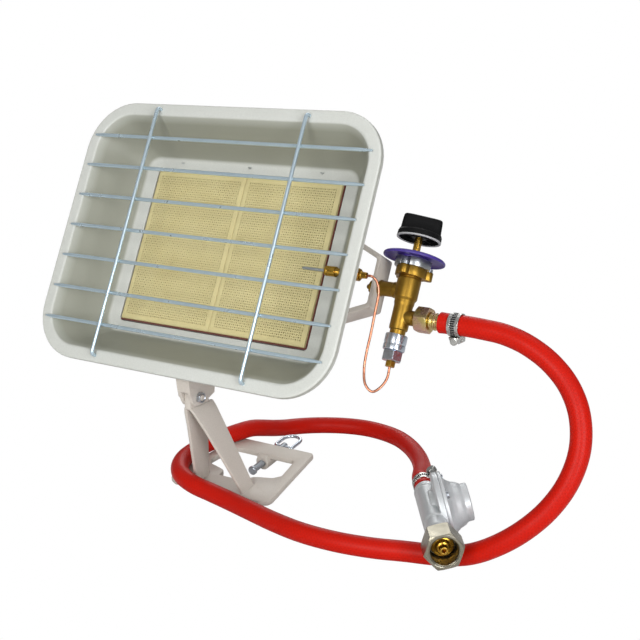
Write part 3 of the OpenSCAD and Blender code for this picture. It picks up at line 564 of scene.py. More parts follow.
def threaded_rod(name: str, radius: float, pitch: float, start: float, stop: float, place: Matrix,
                 sides: int = 24, depth: float = 0.45) -> Object:
    """A rod with a helical thread.

    Args:
        name: the piece's name.
        radius: outer radius.
        pitch: distance between threads.
        start, stop: the rod's ends along Z.
        place: the frame.
        sides: steps round.
        depth: depth of the thread.
    Returns:
        The new object.
    """
    bm = bmesh.new()
    rings = [circle_loop(radius - depth * 1.4, start, sides)]
    steps_per_turn = 6
    run_out = 1.5
    steps = int((stop - start) / pitch * steps_per_turn)
    for s in range(steps + 1):
        z = start + (stop - start) * s / steps
        ring = []
        for k in range(sides):
            a = 2 * pi * k / sides
            phase = (z / pitch - a / (2 * pi)) % 1.0
            fade = min(1.0, (z - start) / run_out, (stop - z) / run_out)
            r = radius - depth * (abs(2 * phase - 1)) - (1 - fade) * depth * 0.6
            ring.append(polar(r, a, z))
        rings.append(ring)
    rings.append(circle_loop(radius - depth * 1.4, stop, sides))
    ring_grid(bm, rings, cap_start=True, cap_end=True)
    return finish_mesh(name, bm, place, 60.0)


def merged(name: str, parts: Sequence[Object]) -> Object:
    """Puts several meshes into one piece, with their material slots.

    Args:
        name: the piece's name.
        parts: the objects, which are removed.
    Returns:
        The piece.
    """
    bm = bmesh.new()
    materials: list[bpy.types.Material] = []
    for part in parts:
        slots = [s.material for s in part.material_slots] or [None]
        shift = []
        for m in slots:
            if m is not None and m not in materials:
                materials.append(m)
            shift.append(materials.index(m) if m is not None else 0)
        before = len(bm.faces)
        bm.from_mesh(part.data)
        bm.faces.ensure_lookup_table()
        for f in bm.faces[before:]:
            f.material_index = shift[min(f.material_index, len(shift) - 1)]
    mesh = bpy.data.meshes.new(name)
    bm.to_mesh(mesh)
    bm.free()
    shade(mesh, 35.0)
    for m in materials:
        mesh.materials.append(m)
    for part in parts:
        old = part.data
        bpy.data.objects.remove(part)
        bpy.data.meshes.remove(old)
    obj = bpy.data.objects.new(name, mesh)
    bpy.context.scene.collection.objects.link(obj)
    return obj


# Shader groups -------------------------------------------------------------------------------------

class Nodes:
    """Adds and links nodes in one node tree."""

    def __init__(self, tree: bpy.types.NodeTree) -> None:
        """Keeps the tree that the nodes go into."""
        self.tree = tree

    def add(self, kind: str, inputs: Optional[dict] = None, **settings: object) -> Node:
        """Adds a node.

        Args:
            kind: the node type without its ShaderNode prefix.
            inputs: input sockets by name or index, given a value or another node's output socket.
            settings: properties of the node.
        Returns:
            The node.
        """
        node = self.tree.nodes.new("ShaderNode" + kind)
        for key, value in settings.items():
            setattr(node, key, value)
        for key, value in (inputs or {}).items():
            socket = node.inputs[key]
            if isinstance(value, NodeSocket):
                self.tree.links.new(value, socket)
            else:
                socket.default_value = value
        return node

    def math(self, operation: str, a: object, b: object = 0.0, clamp: bool = False) -> NodeSocket:
        """Adds a math node and returns its output."""
        return self.add("Math", {0: a, 1: b}, operation=operation, use_clamp=clamp).outputs[0]

    def ramp(self, value: object, low: float, high: float, out_low: float = 0.0,
             out_high: float = 1.0) -> NodeSocket:
        """Maps a range of a value onto another range and clamps it."""
        return self.add("MapRange", {"Value": value, "From Min": low, "From Max": high, "To Min": out_low,
                                     "To Max": out_high}).outputs[0]

    def mix(self, factor: object, a: object, b: object, blend: str = "MIX") -> NodeSocket:
        """Mixes two colours."""
        return self.add("Mix", {0: factor, 6: a, 7: b}, data_type="RGBA", blend_type=blend).outputs[2]

    def grey(self, value: object) -> NodeSocket:
        """Makes a grey of one value."""
        return self.add("CombineColor", {0: value, 1: value, 2: value}).outputs[0]

    def tint(self, colour: object, tone: object) -> NodeSocket:
        """Multiplies a colour by a grey tone."""
        return self.mix(1.0, colour, self.grey(tone), "MULTIPLY")

    def noise(self, vector: object, scale: float, detail: float = 3.0,
              rough: float = 0.55) -> NodeSocket:
        """Adds a noise texture and returns its value."""
        return self.add("TexNoise", {"Vector": vector, "Scale": scale, "Detail": detail,
                                     "Roughness": rough}).outputs[0]

    def object_coords(self) -> NodeSocket:
        """Returns the object's own coordinates, in metres."""
        return self.add("TexCoord").outputs["Object"]


def new_group(name: str, inputs: Sequence[tuple[str, str, object]], outputs: Sequence[tuple[str, str]]
              ) -> tuple[ShaderNodeTree, Nodes, Node, Node]:
    """Starts a shader node group.

    Args:
        name: the group's name.
        inputs: name, socket kind and default of each input.
        outputs: name and socket kind of each output.
    Returns:
        The tree, its helper, its input node and its output node.
    """
    tree = bpy.data.node_groups.new(name, "ShaderNodeTree")
    for label, kind, default in inputs:
        socket = tree.interface.new_socket(label, in_out="INPUT", socket_type="NodeSocket" + kind)
        if default is not None:
            socket.default_value = default
    for label, kind in outputs:
        tree.interface.new_socket(label, in_out="OUTPUT", socket_type="NodeSocket" + kind)
    return tree, Nodes(tree), tree.nodes.new("NodeGroupInput"), tree.nodes.new("NodeGroupOutput")


def edge_group() -> ShaderNodeTree:
    """Finds the edges that handling wears: rounded normals against the real ones, broken up by noise."""
    tree, n, start, end = new_group(
        "worn_edges", [("Radius", "Float", 0.0006), ("Breakup", "Float", 0.5)],
        [("Mask", "Float"), ("Normal", "Vector")])
    bevel = n.add("Bevel", {"Radius": start.outputs["Radius"]}, samples=4)
    geometry = n.add("NewGeometry")
    dot = n.add("VectorMath", {0: bevel.outputs[0], 1: geometry.outputs["Normal"]}, operation="DOT_PRODUCT")
    sharp = n.ramp(dot.outputs["Value"], 0.995, 0.90)
    patches = n.ramp(n.noise(n.object_coords(), 260.0, 4.0), 0.42, 0.62)
    share = n.math("MULTIPLY", patches, start.outputs["Breakup"])
    kept = n.math("ADD", share, n.math("SUBTRACT", 1.0, start.outputs["Breakup"]))
    tree.links.new(n.math("MULTIPLY", sharp, kept), end.inputs["Mask"])
    tree.links.new(bevel.outputs[0], end.inputs["Normal"])
    return tree


def surface_group() -> ShaderNodeTree:
    """Gives the uneven colour and grain that every made surface has, at three sizes."""
    tree, n, start, end = new_group(
        "surface_grain", [("Grain", "Float", 900.0), ("Blotch", "Float", 22.0)],
        [("Fine", "Float"), ("Broad", "Float"), ("Marks", "Float")])
    where = n.object_coords()
    fine = n.add("TexNoise", {"Vector": where, "Scale": start.outputs["Grain"], "Detail": 2.0}).outputs[0]
    broad = n.add("TexNoise", {"Vector": where, "Scale": start.outputs["Blotch"], "Detail": 5.0,
                               "Roughness": 0.6}).outputs[0]
    streak = n.add("Mapping", {"Vector": where, "Rotation": (0.4, 0.9, 0.3), "Scale": (260.0, 34.0, 60.0)})
    marks = n.ramp(n.noise(streak.outputs[0], 1.0, 6.0, 0.7), 0.66, 0.78)
    tree.links.new(fine, end.inputs["Fine"])
    tree.links.new(broad, end.inputs["Broad"])
    tree.links.new(marks, end.inputs["Marks"])
    return tree


def brushed_group() -> ShaderNodeTree:
    """Gives fine parallel streaks, as turning or brushing leaves them, along a stretched axis."""
    tree, n, start, end = new_group(
        "brushed_streaks", [("Stretch", "Vector", (1.0, 1.0, 1.0)), ("Scale", "Float", 1500.0)],
        [("Streaks", "Float")])
    moved = n.add("VectorMath", {0: n.object_coords(), 1: start.outputs["Stretch"]}, operation="MULTIPLY")
    lines = n.add("TexNoise", {"Vector": moved.outputs[0], "Scale": start.outputs["Scale"], "Detail": 3.0,
                               "Roughness": 0.7}).outputs[0]
    tree.links.new(lines, end.inputs["Streaks"])
    return tree


def dust_group() -> ShaderNodeTree:
    """Finds where dust settles: faces that look up, thinned out by noise."""
    tree, n, start, end = new_group("settled_dust", [("Amount", "Float", 0.2)], [("Mask", "Float")])
    normal = n.add("SeparateXYZ", {0: n.add("NewGeometry").outputs["Normal"]}).outputs["Z"]
    facing = n.ramp(normal, 0.35, 0.95)
    patches = n.ramp(n.noise(n.object_coords(), 75.0, 6.0, 0.65), 0.35, 0.75)
    dust = n.math("MULTIPLY", facing, patches)
    tree.links.new(n.math("MULTIPLY", dust, start.outputs["Amount"]), end.inputs["Mask"])
    return tree


class Effect(Enum):
    """The shared shader groups."""

    EDGE = "edge"
    SURFACE = "surface"
    BRUSHED = "brushed"
    DUST = "dust"


class Groups:
    """Keeps one copy of every shared shader group."""

    kept: dict[Effect, ShaderNodeTree] = {}
    makers: dict[Effect, Callable[[], ShaderNodeTree]] = {
        Effect.EDGE: edge_group, Effect.SURFACE: surface_group, Effect.BRUSHED: brushed_group,
        Effect.DUST: dust_group}

    @classmethod
    def use(cls, nodes: Nodes, kind: Effect, inputs: Optional[dict] = None) -> Node:
        """Adds a shared group to a material.

        Args:
            nodes: the material's helper.
            kind: which group.
            inputs: values for the group's inputs.
        Returns:
            The group node.
        """
        if kind not in cls.kept:
            cls.kept[kind] = cls.makers[kind]()
        node = nodes.tree.nodes.new("ShaderNodeGroup")
        node.node_tree = cls.kept[kind]
        for key, value in (inputs or {}).items():
            node.inputs[key].default_value = value
        return node


# Finishes ------------------------------------------------------------------------------------------

DUST_COLOUR = srgb(205, 200, 190)
GRAIN_RELIEF = 0.0004


@dataclass(frozen=True)
class Finish:
    """A finish with grain, blotches, worn edges and dust over one base colour.

    Attributes:
        name: the material's name.
        colour, second: the base colour and the one that it wanders to.
        metallic, roughness: the shader's own values.
        wander: how strongly the second colour shows.
        rough_span: how much the roughness varies.
        grain, blotch: sizes of the grain and the blotches, in cells per metre.
        bump: strength of the grain's relief.
        edge: colour that worn edges show, or None for none.
        edge_share: how much of it shows.
        edge_radius: radius of the worn edges, in metres.
        streaks: stretch of brushed lines, or None for none.
        dust: amount of settled dust.
        sheen: strength of a soft sheen.
        ior: index of refraction.
        marks: strength of small scuffs.
    """

    name: str
    colour: Colour
    second: Colour
    metallic: float = 0.0
    roughness: float = 0.5
    wander: float = 0.5
    rough_span: float = 0.1
    grain: float = 900.0
    blotch: float = 22.0
    bump: float = 0.05
    edge: Optional[Colour] = None
    edge_share: float = 0.5
    edge_radius: float = 0.0005
    streaks: Optional[Point] = None
    dust: float = 0.05
    sheen: float = 0.0
    ior: float = 1.5
    marks: float = 0.15

    def build(self) -> bpy.types.Material:
        """Makes the material, or returns the one made before."""
        old = bpy.data.materials.get(self.name)
        if old is not None:
            return old
        material = bpy.data.materials.new(self.name)
        material.use_nodes = True
        material.node_tree.nodes.clear()
        n = Nodes(material.node_tree)
        colour, rough, height = self.layers(n)
        edge = Groups.use(n, Effect.EDGE, {"Radius": self.edge_radius, "Breakup": 0.6})
        if self.edge is not None:
            share = n.math("MULTIPLY", edge.outputs["Mask"], self.edge_share)
            colour = n.mix(share, colour, self.edge)
        dust = Groups.use(n, Effect.DUST, {"Amount": self.dust})
        colour = n.mix(dust.outputs["Mask"], colour, DUST_COLOUR)
        rough = n.math("ADD", rough, n.math("MULTIPLY", dust.outputs["Mask"], 0.4), clamp=True)
        bump = n.add("Bump", {"Height": height, "Strength": self.bump, "Distance": GRAIN_RELIEF,
                              "Normal": edge.outputs["Normal"]})
        shader = n.add("BsdfPrincipled", {
            "Base Color": colour, "Metallic": self.metallic, "Roughness": rough, "IOR": self.ior,
            "Normal": bump.outputs[0], "Sheen Weight": self.sheen})
        n.add("OutputMaterial", {"Surface": shader.outputs[0]})
        material.diffuse_color = self.colour
        return material

    def layers(self, n: Nodes) -> Layers:
        """Builds the finish's colour, roughness and relief.

        Args:
            n: the material's helper.
        Returns:
            The three sockets.
        """
        grain = Groups.use(n, Effect.SURFACE, {"Grain": self.grain, "Blotch": self.blotch})
        broad = n.ramp(grain.outputs["Broad"], 0.3, 0.7, 0.0, self.wander)
        colour = n.mix(broad, self.colour, self.second)
        fine = n.ramp(grain.outputs["Fine"], 0.3, 0.7, 0.93, 1.05)
        colour = n.tint(colour, fine)
        rough = n.ramp(grain.outputs["Broad"], 0.3, 0.7, self.roughness - self.rough_span / 2,
                       self.roughness + self.rough_span / 2)
        rough = n.math("ADD", rough, n.math("MULTIPLY", grain.outputs["Marks"], self.marks), clamp=True)
        height = grain.outputs["Fine"]
        if self.streaks is not None:
            lines = Groups.use(n, Effect.BRUSHED, {"Stretch": self.streaks,
                                                   "Scale": 1500.0}).outputs["Streaks"]
            rough = n.math("ADD", rough, n.ramp(lines, 0.3, 0.7, -0.08, 0.08), clamp=True)
            height = n.math("ADD", height, lines)
            tone = n.ramp(lines, 0.3, 0.7, 0.9, 1.06)
            colour = n.tint(colour, tone)
        return colour, rough, height


@dataclass(frozen=True)
class DishPaintWithWallShade(Finish):
    """Grey paint with painted shade on the sloped walls, which are coloured greener and less bright where
    less light reaches them.
    """

    def layers(self, n: Nodes) -> Layers:
        """Adds the walls' painted shade to the plain layers."""
        colour, rough, height = super().layers(n)
        wall = n.add("Attribute", attribute_name="wall").outputs["Fac"]
        # Painted shade: the walls' colour is pulled towards a deep olive grey.
        colour = n.mix(n.math("MULTIPLY", wall, 0.85), colour, srgb(132, 133, 119))
        return colour, n.math("ADD", rough, n.math("MULTIPLY", wall, 0.1), clamp=True), height


@dataclass(frozen=True)
class CeramicFinish(Finish):
    """Fired ceramic: a warm, uneven, porous face with browner fired patches."""

    def layers(self, n: Nodes) -> Layers:
        """Adds pores, coloured with painted shade, and fired patches to the plain layers."""
        colour, rough, height = super().layers(n)
        where = n.object_coords()
        pores = n.add("TexVoronoi", {"Vector": where, "Scale": 1400.0}).outputs["Distance"]
        dots = n.ramp(pores, 0.12, 0.3)
        # Painted shade: the pits of the pores are coloured deeper.
        colour = n.mix(n.math("MULTIPLY", n.math("SUBTRACT", 1.0, dots), 0.35), colour, srgb(150, 138, 96))
        fired = n.ramp(n.noise(where, 46.0, 6.0, 0.6), 0.55, 0.78, 0.0, 0.35)
        colour = n.mix(fired, colour, srgb(186, 170, 122))
        return colour, rough, n.math("ADD", height, dots)


@dataclass(frozen=True)
class HoseFinish(Finish):
    """Glossy rubber with the faint relief of the braid under it."""

    def layers(self, n: Nodes) -> Layers:
        """Adds two crossing spirals in the piece's UV map to the plain layers."""
        colour, rough, height = super().layers(n)
        uv = n.add("SeparateXYZ", {0: n.add("UVMap", uv_map="UVMap").outputs[0]})
        run, turn = uv.outputs["X"], uv.outputs["Y"]
        waves = []
        for sign in (1.0, -1.0):
            phase = n.math("ADD", n.math("MULTIPLY", run, 2200.0),
                           n.math("MULTIPLY", turn, sign * 2 * pi * 12))
            waves.append(n.math("SINE", phase))
        braid = n.math("MAXIMUM", waves[0], waves[1])
        relief = n.math("MULTIPLY", braid, 0.32)
        tone = n.ramp(braid, -1.0, 1.0, 0.9, 1.04)
        colour = n.tint(colour, tone)
        return colour, rough, n.math("ADD", height, relief)


class Finishes:
    """Every finish of the heater."""

    # The dish's paint carries painted shade on its sloped walls.
    dish = DishPaintWithWallShade("dish_paint_and_wall_shade", srgb(202, 204, 199), srgb(191, 194, 187), roughness=0.42, rough_span=0.12,
                  grain=1500, blotch=14, bump=0.06, edge=srgb(226, 227, 224), marks=0.1, dust=0.06,
                  ior=1.45)
    warm_paint = Finish("stand_paint", srgb(202, 195, 186), srgb(190, 182, 172), grain=1300, blotch=18,
                        bump=0.08, edge=srgb(208, 202, 194), edge_share=0.6, dust=0.08)
    zinc = Finish("bright_zinc", srgb(214, 222, 232), srgb(186, 194, 206), metallic=1.0, roughness=0.2,
                  grain=2200, blotch=60, bump=0.04, dust=0.02, streaks=(1.0, 0.25, 0.25))
    wire_zinc = Finish("wire_zinc", srgb(198, 216, 226), srgb(170, 190, 204), metallic=0.7, roughness=0.3,
                       rough_span=0.12, grain=2400, blotch=40, bump=0.03, dust=0.02)
    screw_zinc = Finish("dull_zinc", srgb(190, 196, 204), srgb(160, 166, 172), metallic=1.0, roughness=0.32,
                        rough_span=0.16, grain=1800, blotch=80, bump=0.08, edge=srgb(226, 230, 236))
    brass = Finish("turned_brass", srgb(196, 154, 62), srgb(168, 126, 44), metallic=1.0, roughness=0.27,
                   rough_span=0.14, grain=1800, blotch=90, bump=0.03, edge=srgb(232, 204, 132),
                   edge_share=0.6, dust=0.02)
    forged_brass = Finish("forged_brass", srgb(156, 122, 48), srgb(124, 94, 32), metallic=0.95, roughness=0.4,
                          rough_span=0.12, grain=1300, blotch=70, bump=0.12, edge=srgb(206, 172, 88),
                          edge_share=0.7, dust=0.03)
    old_brass = Finish("tarnished_brass", srgb(168, 130, 66), srgb(126, 96, 52), metallic=1.0, roughness=0.38,
                       rough_span=0.2, grain=1200, blotch=120, bump=0.1, edge=srgb(214, 180, 106))
    copper = Finish("drawn_copper", srgb(214, 148, 118), srgb(176, 108, 82), metallic=1.0, roughness=0.3,
                    rough_span=0.16, grain=1500, blotch=70, edge=srgb(236, 176, 146), dust=0.03)
    ceramic = CeramicFinish("fired_ceramic", srgb(214, 203, 152), srgb(198, 184, 128), roughness=0.85,
                            grain=2600, blotch=36, bump=0.25, edge=srgb(226, 216, 170), edge_share=0.3,
                            dust=0.0, marks=0.05)
    strip = Finish("sealing_strip", srgb(112, 52, 42), srgb(84, 36, 32), roughness=0.9, grain=2200,
                   blotch=120, bump=0.4, sheen=0.3)
    housing = Finish("aluminised_steel", srgb(176, 176, 170), srgb(150, 150, 146), metallic=0.85,
                     roughness=0.46, rough_span=0.18, blotch=120, bump=0.12, edge=srgb(206, 206, 200),
                     dust=0.1)
    steel = Finish("stainless", srgb(206, 206, 202), srgb(176, 176, 172), metallic=1.0, roughness=0.24,
                   rough_span=0.12, grain=2000, blotch=60, edge=srgb(236, 236, 234), dust=0.02,
                   streaks=(1.0, 1.0, 0.1))
    cast = Finish("die_cast", srgb(204, 208, 210), srgb(190, 195, 198), metallic=0.4, roughness=0.38,
                  grain=1400, blotch=50, bump=0.1, edge=srgb(214, 218, 222), edge_share=0.6, dust=0.04)
    collar = Finish("collar_cast", srgb(164, 167, 170), srgb(138, 141, 146), metallic=0.95, roughness=0.3,
                    rough_span=0.14, grain=1400, blotch=90, bump=0.12, edge=srgb(220, 222, 226), dust=0.03)
    indigo = Finish("indigo_disc", srgb(66, 48, 136), srgb(52, 38, 114), roughness=0.38, grain=1800,
                    blotch=60, bump=0.04, edge=srgb(112, 98, 176), edge_share=0.4, dust=0.02)
    black = Finish("satin_black", srgb(17, 17, 18), srgb(12, 12, 13), roughness=0.46, rough_span=0.14,
                   grain=1500, blotch=60, bump=0.12, edge=srgb(64, 64, 68), dust=0.005, marks=0.2, ior=1.2)
    pale_rim = Finish("skirt_rim", srgb(170, 170, 172), srgb(150, 150, 152), roughness=0.4, grain=1500,
                      blotch=60, bump=0.06, dust=0.02)
    # Painted shade: a near-black finish for the floors of the clamp band's slots.
    slot_shade = Finish("painted_slot_shade", srgb(24, 24, 25), srgb(16, 16, 16), roughness=0.7, grain=1200, blotch=80,
                  bump=0.1, dust=0.0)
    hose = HoseFinish("red_hose", srgb(190, 22, 5), srgb(176, 17, 4), roughness=0.42, grain=1600,
                      blotch=30, bump=0.14, dust=0.002, marks=0.1, ior=1.24)
    rubber = Finish("black_rubber", srgb(30, 30, 30), srgb(22, 22, 22), roughness=0.7, grain=1500,
                    blotch=80, bump=0.2)
    olive = Finish("yellow_zinc", srgb(206, 194, 108), srgb(212, 164, 158), metallic=1.0, roughness=0.26,
                   rough_span=0.12, wander=1.0, grain=1700, blotch=75, bump=0.08, edge=srgb(228, 224, 196),
                   dust=0.03)
    nickel = Finish("nickel_olive", srgb(158, 153, 136), srgb(132, 128, 114), metallic=1.0, roughness=0.3,
                    rough_span=0.14, grain=1500, blotch=80, bump=0.1, edge=srgb(222, 218, 204), dust=0.03)


def dress(obj: Object, *finishes: Finish) -> Object:
    """Gives an object one material slot for each finish."""
    for finish in finishes:
        obj.data.materials.append(finish.build())
    return obj


# Pieces --------------------------------------------------------------------------------------------

@dataclass
class Assembly:
    """A group of pieces that are made and dressed together.

    Attributes:
        made: the pieces in the order they were made.
    """

    made: list[Object] = field(default_factory=list)

    def keep(self, obj: Object, body: Body, finish: Finish, slot: str,
             *nodes: str) -> Object:
        """Gives a piece its finish, its body and the CAD nodes that it stands for.

        Args:
            obj: the piece.
            body: the body that it rides on.
            finish: its finish.
            slot: the record's material slot; not used.
            nodes: CAD nodes that it replaces.
        Returns:
            The piece.
        """
        if not obj.data.materials:
            dress(obj, finish)
        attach(obj, body.value)
        if nodes:
            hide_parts(*nodes)
        self.made.append(obj)
        return obj

    def build(self) -> None:
        """Makes the pieces."""
        raise NotImplementedError


@dataclass
class ReflectorDish(Assembly):
    """The pressed dish with its folded rim, fillets and window.

    Attributes:
        rim: half width, half height and corner radius of the rim's outer edge.
        opening: the same of the opening in the rim.
        floor: the same of the flat floor.
        window: the same of the burner window.
        depth: depth of the floor.
        wall: sheet thickness.
        lip: depth of the folded rim.
        rim_round: radius of the rim's outer edge.
        bend: radius of the bend from the rim into the walls.
        foot: how far the fillet between the walls and the floor reaches.
    """

    rim: Point = (143.0, 111.0, 42.0)
    opening: Point = (133.0, 101.0, 32.0)
    floor: Point = (106.0, 78.0, 12.0)
    window: Point = (94.0, 68.0, 3.0)
    depth: float = 41.0
    wall: float = 1.8
    lip: float = 5.0
    rim_round: float = 1.6
    bend: float = 1.6
    foot: float = 3.2

    def section(self, share: float, grow: float = 0.0) -> Point:
        """The wall's outline at a share of its way down.

        Args:
            share: 0 at the opening, 1 at the floor.
            grow: how far the outline is grown.
        Returns:
            Half width, half height and corner radius.
        """
        return tuple(a + (b - a) * share + grow for a, b in zip(self.opening, self.floor))

    def inner_rows(self) -> list[tuple[Point, float]]:
        """The front skin's outlines, from the rim's edge to the window."""
        rows: list[tuple[Point, float]] = []

        def edge(grow: float, w: float) -> None:
            """Adds the rim's outline, grown and at its place along W."""
            rows.append(((self.rim[0] + grow, self.rim[1] + grow, self.rim[2] + grow), w))

        edge(0, -self.lip)
        for k in range(6):
            a = pi / 2 * k / 5
            edge(-self.rim_round + self.rim_round * cos(a),
                 -self.rim_round + self.rim_round * sin(a))
        for share in (0.35, 0.75):
            mid = tuple(a + (b - a) * share for a, b in zip(self.rim, self.opening))
            rows.append((mid, 0.0))
        run = self.opening[0] - self.floor[0]
        slope = hypot(run, self.depth)
        tangent = (run / slope, self.depth / slope)
        for k in range(7):
            t = k / 6
            grow = self.bend * (1 - t) ** 2 - self.bend * tangent[0] * t ** 2
            w = -self.bend * tangent[1] * t ** 2
            rows.append((tuple(v + grow for v in self.opening), w))
        for share in (0.2, 0.35, 0.5, 0.65, 0.8):
            rows.append((self.section(share), -self.depth * share))
        back = self.foot / slope
        for k in range(9):
            t = k / 8
            base = self.section(1 - back * (1 - t) ** 2)
            inward = self.foot * t ** 2
            rows.append(((base[0] - inward, base[1] - inward, max(base[2] - inward * 0.2, 4)),
                         -self.depth * (1 - back * (1 - t) ** 2)))
        rows.append(((self.window[0] + 1.2, self.window[1] + 1.2, self.window[2] + 1.2), -self.depth))
        rows.append(((self.window[0] + 0.3, self.window[1] + 0.3, self.window[2] + 0.3), -self.depth - 0.2))
        rows.append((self.window, -self.depth - 0.8))
        return rows

    def build(self) -> None:
        """Makes the dish as one closed skin."""
        rows = self.inner_rows()
        rows.append((self.window, -self.depth - self.wall))
        rows.append((self.section(1, self.wall), -self.depth - self.wall))
        rows.append((self.section(1, self.wall + 0.4), -self.depth - self.wall + 0.9))
        for share in (0.75, 0.5, 0.25):
            rows.append((self.section(share, self.wall), -self.depth * share - 0.3))
        rows.append((self.section(0.04, self.wall + 0.6), -self.wall - 1.0))
        rows.append((tuple(v - self.wall for v in self.rim), -self.wall))
        rows.append((tuple(v - self.wall for v in self.rim), -self.lip))
        bm = bmesh.new()
        ring_grid(bm, [rounded_loop(h[0], h[1], max(h[2], 0.6), w, corner=14, side=24) for h, w in rows],
                  wrap=True)
        obj = finish_mesh("dish_shell", bm, HEAD, 40.0)
        self.mark_wall_shade(obj.data)
        self.keep(obj, Body.HEAD, Finishes.dish, "paint_grey", "reflector_dish")

    def mark_wall_shade(self, mesh: bpy.types.Mesh) -> None:
        """Marks the sloped walls' inner side in an attribute, which the paint reads to lay painted shade
        there.

        Args:
            mesh: the dish's mesh.
        """
        back = HEAD.inverted()
        # This attribute is the mask of the walls' painted shade.
        wall = mesh.attributes.new("wall", "FLOAT", "POINT")
        for vertex, value in zip(mesh.vertices, wall.data):
            w = (back @ (vertex.co / MM)).z
            inward = (back.to_3x3() @ vertex.normal).z > 0
            down = min(max((-w - 0.4) / 1.6, 0.0), 1.0)
            clear = min(max((w + self.depth - 0.05) / 1.2, 0.0), 1.0)
            value.value = min(down, clear) if inward else 0.0


@dataclass
class HousingShell(Assembly):
    """The folded sheet box behind the tiles, with a pressed panel, two ribs and a screwed flange.

    Attributes:
        half_w, half_h: half of the box's outer width and height.
        back, front: where it starts and ends along W.
        flange: how far the flange stands out above and below.
        wall: sheet thickness.
        panel: half width, half height and corner radius of the pressed panel.
        press: how deep the panel is pressed in.
    """

    half_w: float = 97.2
    half_h: float = 71.2
    back: float = -76.8
    front: float = -42.8
    flange: float = 6.8
    wall: float = 1.2
    panel: Point = (80.0, 54.0, 10.0)
    press: float = 1.8

    def build(self) -> None:
        """Makes the box, its panel and its flange as one piece."""
        w, h, (pw, ph, pr) = self.half_w, self.half_h, self.panel
        rows = [((w - self.wall, h - self.wall, 1.4), self.front), ((w, h, 2.4), self.front)]
        rows += [((w, h, 2.4), self.front - (self.front - self.back - 2.6) * share)
                 for share in (0.3, 0.6, 1.0)]
        for k in range(1, 5):
            a = pi / 2 * k / 4
            cut = 2.6 * (1 - cos(a))
            rows.append(((w - cut, h - cut, 3.4), self.back + 2.6 * (1 - sin(a))))
        for inset, rise in ((0.0, 0.0), (0.8, 0.25), (2.2, self.press - 0.25), (3.0, self.press),
                            (5.0, self.press)):
            rows.append(((pw - inset, ph - inset, pr), self.back + rise))
        bm = bmesh.new()
        ring_grid(bm, [rounded_loop(a, b, c, d, corner=10, side=16) for (a, b, c), d in rows], cap_end=True)
        parts = [finish_mesh("housing_box", bm, HEAD, 45.0)]
        for side in (-1, 1):
            v = side * (self.half_h + self.flange / 2 - 0.2)
            x = self.half_w - 1.2
            low, high = v - self.flange / 2, v + self.flange / 2
            cut = 3 if side > 0 else 0
            tab = [(-x, low), (x, low), (x - cut, high), (cut - x, high)]
            holes = [round_outline(2.1, 24, u, side * (self.half_h + 3.8 - 0.2), 1) for u in (-70, 0, 70)]
            tab_back = self.front - self.wall
            parts.append(plate("housing_tab", [tab, *holes], tab_back, self.front, HEAD, 0.3, 0.8))
        for u in (-34, 34):
            place = HEAD @ Matrix.Translation((u, 0, self.back + self.press + 1.8))
            profile = [(0, -36), (1.6, -35.4), (3.1, -33.5), (3.6, -31), (3.6, 31), (3.1, 33.5),
                       (1.6, 35.4), (0, 36)]
            parts.append(revolve("housing_rib", profile, place @ Matrix.Rotation(pi / 2, 4, "X"), 32))
        self.keep(merged("housing_shell", parts), Body.HEAD, Finishes.housing, "housing", "burner_housing")


